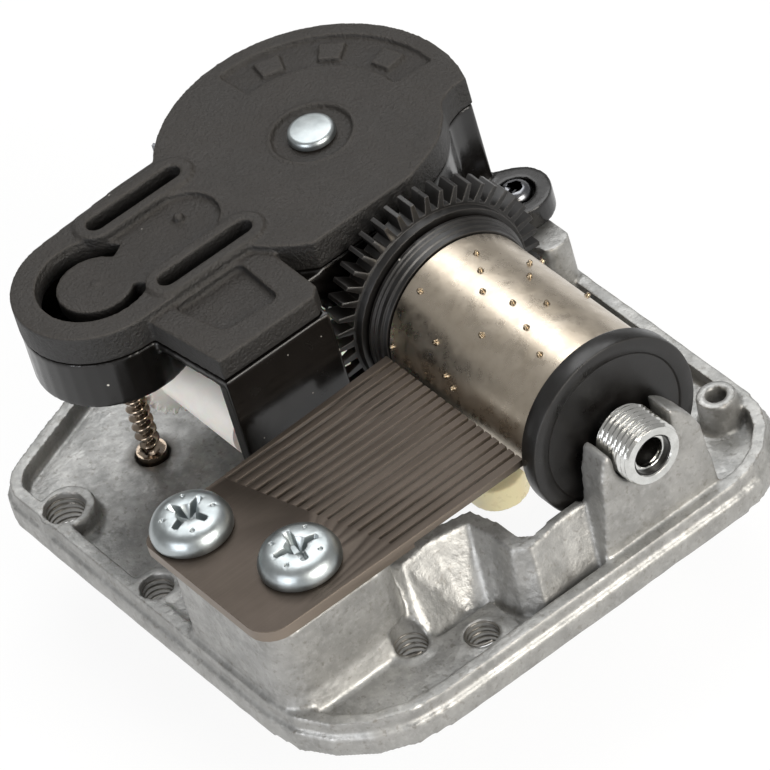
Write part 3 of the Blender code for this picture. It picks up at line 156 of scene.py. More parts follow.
@dataclass(frozen=True)
class Paint:
    """One material being made: its tree, its texture coordinates and the node that rounds its edges."""

    tree: bpy.types.NodeTree
    place: bpy.types.Node
    rounded: bpy.types.Node

    def add(
        self,
        kind: str,
        settings: dict[str | int, Any] | None = None,
        links: dict[str | int, Socket] | None = None,
    ) -> bpy.types.Node:
        """Add a node to the material, as add_node does."""
        return add_node(self.tree, kind, settings, links)

    def cloud(self, size: float, low: float, high: float) -> Socket:
        """Noise of a given size, stretched to the span from 0 to 1.

        Args:
            size: the patches' size.
            low: the noise value that becomes 0.
            high: the noise value that becomes 1.

        Returns:
            The number between 0 and 1.
        """
        made = self.add(
            "ShaderNodeTexNoise",
            {"Scale": 1 / (size * MM), "Detail": 4.0, "Roughness": 0.6},
            {"Vector": self.place.outputs["Object"]},
        )
        span = {"From Min": low, "From Max": high}
        return self.add("ShaderNodeMapRange", span, {"Value": made.outputs["Fac"]}).outputs["Result"]

    def mixed(
        self,
        share: Socket,
        amount: float,
        under: Socket | str,
        over: Socket | str,
    ) -> Socket:
        """Lay one colour over another.

        Args:
            share: where the upper colour shows, from 0 to 1.
            amount: how much of it shows there.
            under: the lower colour, as an output or in hex.
            over: the upper colour, as an output or in hex.

        Returns:
            The colour that results.
        """
        scaled = self.add("ShaderNodeMath", {"operation": "MULTIPLY", 1: amount}, {0: share})
        node = self.add("ShaderNodeMix", {"data_type": "RGBA"})
        self.tree.links.new(scaled.outputs[0], node.inputs[0])
        for number, colour in ((6, under), (7, over)):
            if isinstance(colour, str):
                node.inputs[number].default_value = linear(colour)
            else:
                self.tree.links.new(colour, node.inputs[number])
        return node.outputs[2]

    def edges(self, radius: float, full: float) -> Socket:
        """A mask that is 1 along sharp edges and 0 on open faces.

        Args:
            radius: how far the edge reaches.
            full: how much the rounded normal has turned where the mask is 1.

        Returns:
            The mask.
        """
        soft = self.add("ShaderNodeBevel", {"samples": 6, "Radius": radius * MM})
        hard = self.add("ShaderNodeNewGeometry")
        turned = self.add(
            "ShaderNodeVectorMath",
            {"operation": "DOT_PRODUCT"},
            {0: soft.outputs["Normal"], 1: hard.outputs["Normal"]},
        )
        span = {"From Min": 0.995, "From Max": 1 - full}
        return self.add("ShaderNodeMapRange", span, {"Value": turned.outputs["Value"]}).outputs["Result"]

    def facing(self, low: float, high: float) -> Socket:
        """A mask of faces by how far they look up.

        Args:
            low: the normal's height where the mask is 0.
            high: the normal's height where it is 1.

        Returns:
            The mask.
        """
        height = self.add("ShaderNodeSeparateXYZ", None, {0: self.place.outputs["Normal"]})
        span = {"From Min": low, "From Max": high}
        return self.add("ShaderNodeMapRange", span, {"Value": height.outputs["Z"]}).outputs["Result"]


@dataclass(frozen=True)
class Finish:
    """A material and how its surface was made.  Lengths are millimetres and colours are sRGB."""

    name: str
    colour: str
    second: str
    roughness: float
    metallic: float = 0.0
    ior: float = 1.5
    patch: float = 4.0
    patch_share: float = 0.6
    roughness_spread: float = 0.1
    grain: float = 0.5
    relief: float = 0.004
    edge: float = 0.1
    edge_colour: str = ""
    edge_share: float = 0.0
    dust: float = 0.0
    coat: float = 0.0
    scatter: float = 0.0

    def material(self) -> bpy.types.Material:
        """Return the finish's material, which is made the first time."""
        found = bpy.data.materials.get(self.name)
        if found is not None:
            return found
        made = bpy.data.materials.new(self.name)
        made.use_nodes = True
        made.diffuse_color = linear(self.colour)
        tree = made.node_tree
        shader = tree.nodes["Principled BSDF"]
        shader.inputs["Metallic"].default_value = self.metallic
        if self.metallic < 1:
            shader.inputs["IOR"].default_value = self.ior
        shader.inputs["Coat Weight"].default_value = self.coat
        shader.inputs["Coat Roughness"].default_value = 0.08
        shader.inputs["Subsurface Weight"].default_value = self.scatter
        shader.inputs["Subsurface Scale"].default_value = 0.6 * MM
        place = add_node(tree, "ShaderNodeTexCoord")
        rounded = add_node(tree, "ShaderNodeBevel", {"samples": 4, "Radius": self.edge * MM})
        paint = Paint(tree, place, rounded)
        tree.links.new(self.tint(paint), shader.inputs["Base Color"])
        tree.links.new(self.shine(paint), shader.inputs["Roughness"])
        tree.links.new(self.surface(paint), shader.inputs["Normal"])
        return made

    def tint(self, paint: Paint) -> Socket:
        """The surface's colour: clouds of two shades, recoloured edges and dust, as the fields say; the
        lighter edges of the cover and the turned acetal are a painted highlight.

        Args:
            paint: the material being made.

        Returns:
            The colour.
        """
        colour = paint.mixed(
            paint.cloud(self.patch, 0.35, 0.65), self.patch_share, self.colour, self.second
        )
        if self.edge_share:
            # Edge colour along sharp edges; on the cover and the turned acetal it is a painted highlight.
            edge_band = paint.edges(self.edge * 2, 0.3)
            colour = paint.mixed(edge_band, self.edge_share, colour, self.edge_colour)
        if self.dust:
            colour = paint.mixed(self.specks(paint), 0.75, colour, "#c9c5bd")
        return colour

    def specks(self, paint: Paint) -> Socket:
        """Grains of dust a tenth of a millimetre across, the more the higher the dust value.

        Args:
            paint: the material being made.

        Returns:
            A mask that is 1 on the grains.
        """
        spots = paint.add(
            "ShaderNodeTexVoronoi", {"Scale": 1 / (0.9 * MM)}, {"Vector": paint.place.outputs["Object"]}
        )
        near = paint.add(
            "ShaderNodeMapRange",
            {"From Min": 0.13, "From Max": 0.07},
            {"Value": spots.outputs["Distance"]},
        )
        luck = paint.add("ShaderNodeSeparateColor", None, {0: spots.outputs["Color"]})
        some = paint.add(
            "ShaderNodeMath", {"operation": "LESS_THAN", 1: self.dust}, {0: luck.outputs[0]}
        )
        both = paint.add(
            "ShaderNodeMath", {"operation": "MULTIPLY"}, {0: near.outputs[0], 1: some.outputs[0]}
        )
        return both.outputs[0]

    def shine(self, paint: Paint) -> Socket:
        """The surface's roughness, which drifts a little from place to place.

        Args:
            paint: the material being made.

        Returns:
            The roughness.
        """
        drift = paint.cloud(self.patch * 0.6, 0.3, 0.7)
        low, high = self.roughness - self.roughness_spread / 2, self.roughness + self.roughness_spread / 2
        return paint.add("ShaderNodeMapRange", {"To Min": low, "To Max": high}, {"Value": drift}).outputs[0]

    def surface(self, paint: Paint) -> Socket:
        """The surface's fine relief on top of its rounded edges.

        Args:
            paint: the material being made.

        Returns:
            The normal.
        """
        grains = paint.cloud(self.grain, 0.2, 0.8)
        bump = paint.add(
            "ShaderNodeBump",
            {"Strength": 1.0, "Distance": self.relief * MM},
            {"Height": grains, "Normal": paint.rounded.outputs["Normal"]},
        )
        return bump.outputs["Normal"]


@dataclass(frozen=True)
class CastZinc(Finish):
    """Die-cast zinc alloy as it leaves the die: flow marks, pits, brown flash on its edges, an oily ring, and
    side faces painted darker as shade.
    """

    stain: tuple[float, float, float] = (0.0, 0.0, 0.0)
    pit: float = 0.45
    flash_colour: str = "#6d5c48"
    stain_radius: float = 1.9

    def tint(self, paint: Paint) -> Socket:
        """The grey of the casting with its marks, and its side faces painted darker as shade.

        Args:
            paint: the material being made.

        Returns:
            The colour.
        """
        colour = paint.mixed(
            paint.cloud(self.patch, 0.38, 0.62), self.patch_share, self.colour, self.second
        )
        colour = paint.mixed(paint.cloud(self.patch * 0.22, 0.5, 0.72), 0.35, colour, "#c6c6c4")
        colour = paint.mixed(paint.cloud(self.pit, 0.56, 0.68), 0.5, colour, "#6e6a64")
        # Painted shade: faces that look less upwards are darkened towards #77736d.
        shaded_sides = paint.add("ShaderNodeMath", {"operation": "SUBTRACT", 0: 1.0})
        paint.tree.links.new(paint.facing(0.1, 0.8), shaded_sides.inputs[1])
        colour = paint.mixed(shaded_sides.outputs[0], 0.3, colour, "#77736d")
        rubbed = paint.add(
            "ShaderNodeMath",
            {"operation": "MULTIPLY"},
            {0: paint.edges(0.35, 0.25), 1: paint.cloud(0.9, 0.42, 0.6)},
        )
        colour = paint.mixed(rubbed.outputs[0], 0.35, colour, self.flash_colour)
        away = paint.add(
            "ShaderNodeVectorMath",
            {"operation": "DISTANCE", 1: [c * MM for c in self.stain]},
            {0: paint.place.outputs["Object"]},
        )
        ring = paint.add(
            "ShaderNodeMapRange",
            {"From Min": self.stain_radius * 1.25 * MM, "From Max": self.stain_radius * 0.9 * MM},
            {"Value": away.outputs["Value"]},
        )
        return paint.mixed(ring.outputs[0], 0.6, colour, "#4b4640")


@dataclass(frozen=True)
class GrainedPlasticLitTop(Finish):
    """Plastic moulded in a spark-eroded tool, with a pebbled grain; its top faces are painted lighter than
    its sides, partly the grain's grey bloom and partly painted light from above.
    """

    shaded_side_colour: str = "#100e0c"

    def tint(self, paint: Paint) -> Socket:
        """The top is painted lighter than the sides: partly the grain's grey bloom, partly painted light from
        above.

        Args:
            paint: the material being made.

        Returns:
            The colour.
        """
        top = super().tint(paint)
        # Painted light: up-facing faces take the lighter grained colour, the sides the darker painted shade.
        return paint.mixed(paint.facing(0.1, 0.75), 1.0, self.shaded_side_colour, top)


@dataclass(frozen=True)
class GroundSteel(Finish):
    """Spring steel ground flat: scratches along the teeth, brown temper colour, brighter sheared sides."""

    side_colour: str = "#7a7066"

    def tint(self, paint: Paint) -> Socket:
        """Scratched brown-grey on the ground face and a lighter sheared side.

        Args:
            paint: the material being made.

        Returns:
            The colour.
        """
        base = super().tint(paint)
        scratched = paint.mixed(self.scratches(paint), 0.25, base, "#554c45")
        return paint.mixed(paint.facing(0.2, 0.9), 1.0, self.side_colour, scratched)

    def scratches(self, paint: Paint) -> Socket:
        """Grinding lines 0.08 mm apart and some millimetres long.

        Args:
            paint: the material being made.

        Returns:
            The lines, from 0 to 1.
        """
        drawn = paint.add(
            "ShaderNodeMapping", {"Scale": (1.0, 0.03, 1.0)}, {"Vector": paint.place.outputs["Object"]}
        )
        lines = paint.add(
            "ShaderNodeTexNoise",
            {"Scale": 1 / (0.16 * MM), "Detail": 2.0},
            {"Vector": drawn.outputs["Vector"]},
        )
        span = {"From Min": 0.4, "From Max": 0.7}
        return paint.add("ShaderNodeMapRange", span, {"Value": lines.outputs["Fac"]}).outputs["Result"]


# -------------------------------------------------------------------------------- finishes
# Zinc die-casting alloy, as cast and tumbled: dull light grey metal, mottled and slightly pitted.
ZINC = CastZinc(
    "die_cast_zinc", "#a3a3a1", "#7c7d7c", 0.44, metallic=0.72, patch=2.4, roughness_spread=0.2,
    grain=0.7, relief=0.035, edge=0.16, stain=(-13.2, -11.35, 1.5),
)
# The same casting inside its tapped holes: cut metal, darker for the cutting oil.
TAPPED = Finish(
    "tapped_zinc", "#8d8a84", "#5e5b57", 0.32, metallic=0.9, patch=0.8, grain=0.3, relief=0.01,
)
# ABS moulded in a spark-eroded tool: warm near-black with a grey bloom on a 0.25 mm pebble; its top is
# painted lighter than its sides, and its lighter edges are a painted highlight.
COVER_ABS = GrainedPlasticLitTop(
    "spark_eroded_abs", "#1e1913", "#18140f", 0.55, ior=1.54, patch=5.0, grain=0.26, relief=0.09,
    edge=0.25, edge_colour="#5a544c", edge_share=0.4, dust=0.012,
)
# Acetal moulded in a polished tool: very dark and satin, with dust and oil on it.
SMOOTH_ACETAL = Finish(
    "polished_acetal", "#080706", "#0e0c0b", 0.22, ior=1.48, patch=2.6, grain=1.6, relief=0.006,
    edge=0.12, edge_colour="#2c2926", edge_share=0.3, dust=0.03, roughness_spread=0.14,
)
# The same acetal on the turning flange and gear, with a grey haze along its edges that is a painted sheen.
ACETAL_PAINTED_SHEEN = Finish(
    "acetal_painted_sheen", "#0b0a09", "#131110", 0.36, ior=1.48, patch=3.0, grain=0.9, relief=0.008, edge=0.1,
    edge_colour="#4f4a45", edge_share=0.4, dust=0.03, roughness_spread=0.2,
)
# Hardened comb steel, ground on its top: warm brown grey.
COMB_STEEL = GroundSteel(
    "ground_comb_steel", "#4a423b", "#413a33", 0.48, metallic=0.75, patch=6.0, grain=0.25,
    relief=0.003, edge=0.07, edge_colour="#94887c", edge_share=0.5,
)
# Bright zinc plate on steel screws: bluish, a little dulled by handling.
ZINC_PLATE = Finish(
    "bright_zinc_plate", "#acb2b3", "#8c9395", 0.36, metallic=1.0, patch=1.4, grain=0.6, relief=0.008,
    edge=0.1, edge_colour="#dfe3e4", edge_share=0.4,
)
# Nickel plate on a drawn brass tube: warm and mirror-like, clouded by handling.
NICKEL = Finish(
    "nickel_plate", "#c9beae", "#b0a492", 0.3, metallic=1.0, patch=2.2, grain=0.9, relief=0.006,
    edge=0.06, roughness_spread=0.16,
)
# Turned free-cutting steel: bright with fine tool marks.
BRIGHT_STEEL = Finish(
    "turned_bright_steel", "#d9d9d6", "#b9b9b5", 0.17, metallic=1.0, patch=1.0, grain=0.4,
    relief=0.004, edge=0.05,
)
# A near-black lining for the bush's bore: painted shade where the bore lies dark.
BORE_SHADE = Finish(
    "painted_bore_shade", "#0c0b0a", "#16120e", 0.3, ior=1.48, patch=0.8, grain=0.4, relief=0.004,
)
# Drawn steel pins, browned where the cylinder was cemented and wiped.
PIN_STEEL = Finish(
    "drawn_pin_steel", "#a8977e", "#6b5f50", 0.2, metallic=1.0, patch=0.3, grain=0.3, relief=0.01,
    edge=0.08, edge_colour="#3a332b", edge_share=0.6,
)
# Bronzed steel worm, wet with oil.
OILED_STEEL = Finish(
    "oiled_worm_steel", "#9a8a78", "#6f6257", 0.22, metallic=1.0, patch=0.7, grain=0.3, relief=0.006,
    edge=0.05, coat=0.6,
)
# Blued spring steel strip: dark and smooth.
SPRING_STEEL = Finish(
    "blued_spring_steel", "#7c7d80", "#5c5e64", 0.25, metallic=1.0, patch=2.0, grain=0.5, relief=0.003,
    edge=0.05,
)
# Natural nylon, moulded: milky white, slightly translucent, satin.
NYLON = Finish(
    "natural_nylon", "#f0ede6", "#e2ddd3", 0.4, ior=1.53, patch=2.5, patch_share=0.5, grain=0.5,
    relief=0.006, edge=0.1, scatter=0.25,
)
# Free-cutting brass, turned: yellow and slightly tarnished.
BRASS = Finish(
    "turned_brass", "#c9ad72", "#9f8450", 0.26, metallic=1.0, patch=1.0, grain=0.3, relief=0.004,
    edge=0.05,
)
# Polystyrene moulded in a pale yellow: glossy and even.
CREAM = Finish(
    "cream_polystyrene", "#e9dfb6", "#ddd2a4", 0.28, ior=1.59, patch=6.0, grain=1.2, relief=0.006,
    edge=0.2, scatter=0.1,
)
# Cast lead: dull blue grey with a soft crumpled skin.
LEAD = Finish(
    "cast_lead", "#6b6b6d", "#55565a", 0.6, metallic=0.7, patch=0.8, grain=0.3, relief=0.02, edge=0.12,
)


# -------------------------------------------------------------------------------- mesh helpers
def working(mesh: Mesh) -> Object:
    """Link a working object that holds the mesh."""
    obj = bpy.data.objects.new("working", mesh)
    bpy.context.scene.collection.objects.link(obj)
    return obj


def applied(obj: Object) -> Mesh:
    """Return the object's mesh with its modifiers applied, and remove the object."""
    bpy.context.view_layer.update()
    mesh = bpy.data.meshes.new_from_object(obj.evaluated_get(bpy.context.evaluated_depsgraph_get()))
    bpy.data.objects.remove(obj, do_unlink=True)
    return mesh


def edited(mesh: Mesh, change: Callable[[bmesh.types.BMesh], None]) -> Mesh:
    """Change a mesh through a bmesh.

    Args:
        mesh: the mesh to change.
        change: what is done to its bmesh.

    Returns:
        The same mesh.
    """
    bm = bmesh.new()
    bm.from_mesh(mesh)
    change(bm)
    bm.to_mesh(mesh)
    bm.free()
    return mesh


def skin(rings: Sequence[Sequence[Vector]], cyclic: bool = False) -> Mesh:
    """Join rings of equally many points into one closed mesh.

    Args:
        rings: the rings, in order.
        cyclic: whether the last ring joins the first; otherwise both ends are capped.

    Returns:
        The mesh.
    """
    bm = bmesh.new()
    rows = [[bm.verts.new(point) for point in ring] for ring in rings]
    pairs = list(zip(rows, rows[1:]))
    if cyclic:
        pairs.append((rows[-1], rows[0]))
    for lower, upper in pairs:
        for i in range(len(lower)):
            j = (i + 1) % len(lower)
            bm.faces.new((lower[i], lower[j], upper[j], upper[i]))
    if not cyclic:
        bm.faces.new(rows[-1])
        bm.faces.new(list(reversed(rows[0])))
    bmesh.ops.recalc_face_normals(bm, faces=bm.faces)
    mesh = bpy.data.meshes.new("skin")
    bm.to_mesh(mesh)
    bm.free()
    return mesh


def around(radius: float, height: float, sides: int) -> list[Vector]:
    """A ring of points about the Z axis."""
    turn = 2 * math.pi / sides
    return [Vector((radius * math.cos(i * turn), radius * math.sin(i * turn), height)) for i in range(sides)]


def stand(mesh: Mesh, axis: Axis, centre: Vector) -> Mesh:
    """Turn a mesh made about Z onto its axis and move it there.

    Args:
        mesh: the mesh.
        axis: its new axis.
        centre: where the old origin goes.

    Returns:
        The same mesh.
    """
    turn = Matrix.Rotation(math.pi / 2, 4, "Y") if axis is Axis.X else Matrix.Identity(4)
    mesh.transform(Matrix.Translation(centre) @ turn)
    return mesh


def lathe(
    profile: Sequence[tuple[float, float]], axis: Axis, centre: Vector, sides: int = 128, cyclic: bool = False
) -> Mesh:
    """A turned solid.

    Args:
        profile: its (radius, height) points.
        axis: the axis it stands on.
        centre: a point on that axis from which the heights count.
        sides: how many facets go round it.
        cyclic: whether the profile closes on itself, as a tube's does.

    Returns:
        The mesh.
    """
    return stand(skin([around(r, h, sides) for r, h in profile], cyclic), axis, centre)


@dataclass(frozen=True)
class Thread:
    """A screw thread: its crest radius, depth, pitch and length, and the bore inside it."""

    crest: float
    depth: float
    pitch: float
    low: float
    high: float
    bore: float = 0.0
    bore_depth: float = 0.0
    chamfer: float = 0.25
    crest_share: float = 0.3
    sides: int = 72
    steps_per_pitch: int = 10

    def radius(self, height: float, turn: float) -> float:
        """The thread's radius at a height and at a share of a full turn."""
        phase = (height / self.pitch - turn) % 1.0
        slope = abs(phase - 0.5) * 2
        rise = min(1.0, max(0.0, (slope - self.crest_share / 2) / (1 - self.crest_share)))
        radius = self.crest - self.depth * rise
        ends = min(height - self.low, self.high - height)
        return min(radius, self.crest - self.chamfer + ends) if ends < self.chamfer else radius

    def mesh(self, axis: Axis, centre: Vector) -> Mesh:
        """The threaded piece as one closed mesh.

        Args:
            axis: the axis it stands on.
            centre: the point from which its heights count.

        Returns:
            The mesh.
        """
        count = round((self.high - self.low) / self.pitch * self.steps_per_pitch)
        rings = []
        for i in range(count + 1):
            height = self.low + (self.high - self.low) * i / count
            ring = around(1.0, height, self.sides)
            for j, point in enumerate(ring):
                radius = self.radius(height, j / self.sides)
                point.x *= radius
                point.y *= radius
            rings.append(ring)
        if self.bore:
            rings.append(around(self.bore + 0.08, self.high, self.sides))
            rings.append(around(self.bore, self.high - 0.1, self.sides))
            rings.append(around(self.bore, self.high - self.bore_depth, self.sides))
        return stand(skin(rings), axis, centre)


def prism(
    outline: Sequence[tuple[float, float]], low: float, high: float, shrink: float = 1.0
) -> Mesh:
    """A solid between two copies of an outline.

    Args:
        outline: its (x, y) points.
        low: the lower face's height.
        high: the upper face's height.
        shrink: the lower face's size as a share of the upper one's.

    Returns:
        The mesh.
    """
    lower = [Vector((x * shrink, y * shrink, low)) for x, y in outline]
    return skin([lower, [Vector((x, y, high)) for x, y in outline]])


def arc(radius: float, start: float, end: float, steps: int) -> list[tuple[float, float]]:
    """Points on an arc about the origin, in degrees."""
    angles = [math.radians(start + (end - start) * i / steps) for i in range(steps + 1)]
    return [(radius * math.cos(a), radius * math.sin(a)) for a in angles]


def helix(radius: float, pitch: float, low: float, high: float, centre: Vector) -> list[Vector]:
    """Points along a coil about a vertical line."""
    count = round((high - low) / pitch * 28)
    points = []
    for i in range(count + 1):
        turn = 2 * math.pi * i / 28
        height = low + (high - low) * i / count
        points.append(centre + Vector((radius * math.cos(turn), radius * math.sin(turn), height)))
    return points


def wire(points: Sequence[Vector], radius: float, sides: int = 3) -> Mesh:
    """A round wire with filled ends.

    Args:
        points: the line it follows.
        radius: its radius.
        sides: the curve's bevel resolution.

    Returns:
        The mesh.
    """
    curve = bpy.data.curves.new("wire", "CURVE")
    curve.dimensions = "3D"
    curve.bevel_depth = radius
    curve.bevel_resolution = sides
    curve.use_fill_caps = True
    spline = curve.splines.new("POLY")
    spline.points.add(len(points) - 1)
    for point, co in zip(spline.points, points):
        point.co = (*co, 1)
    obj = bpy.data.objects.new("working", curve)
    bpy.context.scene.collection.objects.link(obj)
    mesh = applied(obj)
    return edited(mesh, lambda bm: bmesh.ops.remove_doubles(bm, verts=bm.verts, dist=0.0005))


def merged(meshes: Sequence[Mesh]) -> Mesh:
    """Put several meshes into one, each still a body of its own."""
    bm = bmesh.new()
    for mesh in meshes:
        bm.from_mesh(mesh)
    made = bpy.data.meshes.new("merged")
    bm.to_mesh(made)
    bm.free()
    return made


def carved(base: Mesh, cutter: Mesh) -> Mesh:
    """Cut one mesh out of another and return what is left."""
    body, tool = working(base), working(cutter)
    boolean = body.modifiers.new("cut", "BOOLEAN")
    boolean.object = tool
    mesh = applied(body)
    bpy.data.objects.remove(tool, do_unlink=True)
    return mesh


def bevelled(mesh: Mesh, width: float, segments: int = 2, angle: float = 38.0) -> Mesh:
    """Round a mesh's sharp edges.

    Args:
        mesh: the mesh.
        width: how wide the rounding is.
        segments: how many faces it has across.
        angle: the least turn in degrees that counts as an edge.

    Returns:
        The rounded mesh.
    """
    obj = working(mesh)
    bevel = obj.modifiers.new("bevel", "BEVEL")
    bevel.width = width
    bevel.segments = segments
    bevel.angle_limit = math.radians(angle)
    bevel.use_clamp_overlap = True
    return applied(obj)


def fused(meshes: Sequence[Mesh], voxel: float, passes: int) -> Mesh:
    """Melt closed meshes into one skin with the soft edges and fillets of a moulding or a casting.

    Args:
        meshes: the closed meshes.
        voxel: the size of the cells that the skin is drawn on.
        passes: how often the skin is smoothed.

    Returns:
        The skin.
    """
    obj = working(merged(meshes))
    remesh = obj.modifiers.new("melt", "REMESH")
    remesh.mode = "VOXEL"
    remesh.voxel_size = voxel
    smooth = obj.modifiers.new("soften", "SMOOTH")
    smooth.factor = 0.5
    smooth.iterations = passes
    return applied(obj)


def roughened(mesh: Mesh, waves: Sequence[tuple[float, float]]) -> Mesh:
    """Move a skin's points in and out by smooth noise.

    Args:
        mesh: the skin.
        waves: the (size, height) of each layer of noise.

    Returns:
        The same mesh.
    """
    normals = [vertex.normal.copy() for vertex in mesh.vertices]
    for vertex, normal in zip(mesh.vertices, normals):
        lift = sum(height * noise.noise(vertex.co / size) for size, height in waves)
        vertex.co += normal * lift
    return mesh


# -------------------------------------------------------------------------------- workshop
@dataclass
class Workshop:
    """Places finished meshes as pieces that ride on the frame's bodies and stand for its nodes."""

    frame: dict[str, Any]
    slots: dict[str, str] = field(default_factory=dict)

    def __post_init__(self) -> None:
        """Read which material slot each node has in the record."""
        self.slots = {part["node"]: part["material_slot"] for part in self.frame["record"]["subparts"]}

    def copy(self, node: str) -> Mesh:
        """Copy a node's mesh in millimetres, with its corners welded and its flat faces whole."""
        mesh = self.frame["nodes"][node].data.copy()
        mesh.transform(Matrix.Scale(1 / MM, 4))

        def weld(bm: bmesh.types.BMesh) -> None:
            """Join the corners that meet and drop the edges inside flat faces."""
            bmesh.ops.remove_doubles(bm, verts=bm.verts, dist=0.001)
            bmesh.ops.dissolve_limit(bm, angle_limit=math.radians(0.6), verts=bm.verts, edges=bm.edges)

        mesh.materials.clear()
        return edited(mesh, weld)

    def low(self, node: str) -> Vector:
        """The lowest corner of a node's box, in millimetres."""
        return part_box(node)[0] / MM

    def high(self, node: str) -> Vector:
        """The highest corner of a node's box, in millimetres."""
        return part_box(node)[1] / MM

    def middle(self, node: str) -> Vector:
        """The middle of a node's box, in millimetres."""
        return (self.low(node) + self.high(node)) / 2

    def place(
        self, name: str, mesh: Mesh, finish: Finish, node: str, stands_for: bool = True
    ) -> Object:
        """Finish a mesh as a piece of the movement.

        Args:
            name: the piece's name.
            mesh: its mesh, in millimetres.
            finish: its finish.
            node: the CAD node it stands for, or whose body it shares.
            stands_for: whether the node is hidden for it.

        Returns:
            The piece.
        """
        mesh.transform(Matrix.Scale(MM, 4))
        mesh.name = name
        mesh.materials.clear()
        mesh.materials.append(finish.material())
        mesh.shade_smooth()
        mesh.set_sharp_from_angle(angle=SMOOTH_ANGLE)
        obj = bpy.data.objects.new(name, mesh)
        bpy.context.scene.collection.objects.link(obj)
        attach(obj, self.frame["nodes"][node]["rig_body"])
        if stands_for:
            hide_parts(node)
        LOG.info("%s: %d faces in %s", name, len(mesh.polygons), finish.name)
        return obj

    def dress(self, node: str, name: str, finish: Finish) -> Object:
        """Place a node's own shape under a finish, with its round faces smooth."""
        return self.place(name, self.copy(node), finish, node)


# -------------------------------------------------------------------------------- sub-assemblies
@dataclass
class Casting:
    """The die-cast bedplate with its tapped holes."""

    shop: Workshop
    voxel: float = 0.2
    passes: int = 3
    thread_pitch: float = 0.5
    thread_wire: float = 0.1
    # Tapped holes as (from the left edge, from the front edge, radius).
    holes: tuple[tuple[float, float, float], ...] = (
        (26.2, 2.1, 1.3),
        (45.6, 11.4, 1.3),
        (48.8, 15.6, 1.3),
        (44.5, 41.7, 0.8),
        (13.8, 2.3, 1.6),
    )
    plate_length: float = 52.2
    plate_width: float = 44.6
    rim_top: float = 3.0

    def build(self) -> None:
        """Place the casting and the threads in its holes."""
        skin_mesh = fused([self.shop.copy("bedplate")], self.voxel, self.passes)
        roughened(skin_mesh, ((5.0, 0.05), (1.3, 0.03)))
        self.shop.place("bedplate_casting", skin_mesh, ZINC, "bedplate")
        left = self.shop.high("bedplate").x - self.plate_length
        front = self.shop.high("bedplate").y - self.plate_width
        coils = []
        for x, y, radius in self.holes:
            line = helix(radius, self.thread_pitch, 0.2, self.rim_top - 0.3, Vector((left + x, front + y, 0)))
            coils.append(wire(line, self.thread_wire, 1))
        self.shop.place("tapped_threads", merged(coils), TAPPED, "bedplate", stands_for=False)


@dataclass
class CombSet:
    """The steel comb with its lead weights and its two screws."""

    shop: Workshop
    head_radius: float = 3.15
    head_height: float = 1.75
    shank: float = 1.3
    wing_length: float = 0.62
    wing_width: float = 0.17
    recess_depth: float = 1.1
    weights: int = 6

    def build(self) -> None:
        """Place the comb, its weights and its screws."""
        plate = bevelled(self.shop.copy("steel_comb"), 0.03, 1)
        self.shop.place("comb_plate", plate, COMB_STEEL, "steel_comb")
        for i in range(self.weights):
            node = f"lead_weight_{i + 1}"
            self.shop.place(f"tuning_lead_{i + 1}", bevelled(self.shop.copy(node), 0.08), LEAD, node)
        for i, turn in enumerate((20.0, -12.0)):
            node = f"comb_screw_{i + 1}"
            self.shop.place(f"comb_screw_head_{i + 1}", self.screw(node, turn), ZINC_PLATE, node)

    def screw(self, node: str, turn: float) -> Mesh:
        """A pan-headed screw with a tapered cross recess and punch dots.

        Args:
            node: the CAD screw it stands for.
            turn: how far the recess is turned, in degrees.

        Returns:
            The mesh.
        """
        radius, height = self.head_radius, self.head_height
        top, low = self.shop.high(node).z, self.shop.low(node).z
        seat = top - height
        centre = self.shop.middle(node)
        profile = [(0.01, height), (radius * 0.45, height - 0.01), (radius * 0.66, height - 0.08)]
        profile += [(radius * 0.8, height - 0.24), (radius * 0.9, height - 0.5)]
        profile += [(radius * 0.965, height - 0.9)]
        profile += [(radius, height - 1.2), (radius, 0.12), (radius - 0.12, 0.0), (self.shank, 0.0)]
        profile += [(self.shank, low - seat), (0.01, low - seat)]
        head = lathe(profile, Axis.Z, ORIGIN, 96)
        wing, half = radius * self.wing_length, radius * self.wing_width / 2 * 1.5
        outline = []
        for quarter in range(4):
            spin = Matrix.Rotation(math.pi / 2 * quarter, 2)
            for x, y in ((half, -half), (wing, -half * 0.8), (wing + 0.12, 0.0), (wing, half * 0.8)):
                point = spin @ Vector((x, y))
                outline.append((point.x, point.y))
        head = carved(head, prism(outline, height - self.recess_depth, height + 0.5, 0.62))
        head = carved(head, lathe([(0.01, height + 0.1), (0.95, height + 0.1), (0.3, height - 1.3),
                                   (0.01, height - 1.4)], Axis.Z, ORIGIN, 24))
        for quarter in range(4):
            angle = math.pi / 2 * (quarter + 0.5)
            dot = Vector((math.cos(angle), math.sin(angle), 0)) * radius * 0.62
            head = carved(head, lathe([(0.01, height + 0.2), (0.24, height + 0.2), (0.17, height - 0.2),
                                       (0.01, height - 0.26)], Axis.Z, dot, 14))
        head = bevelled(head, 0.05, 2, 30)
        turned = Matrix.Rotation(math.radians(turn), 4, "Z")
        head.transform(Matrix.Translation((centre.x, centre.y, seat)) @ turned)
        return head


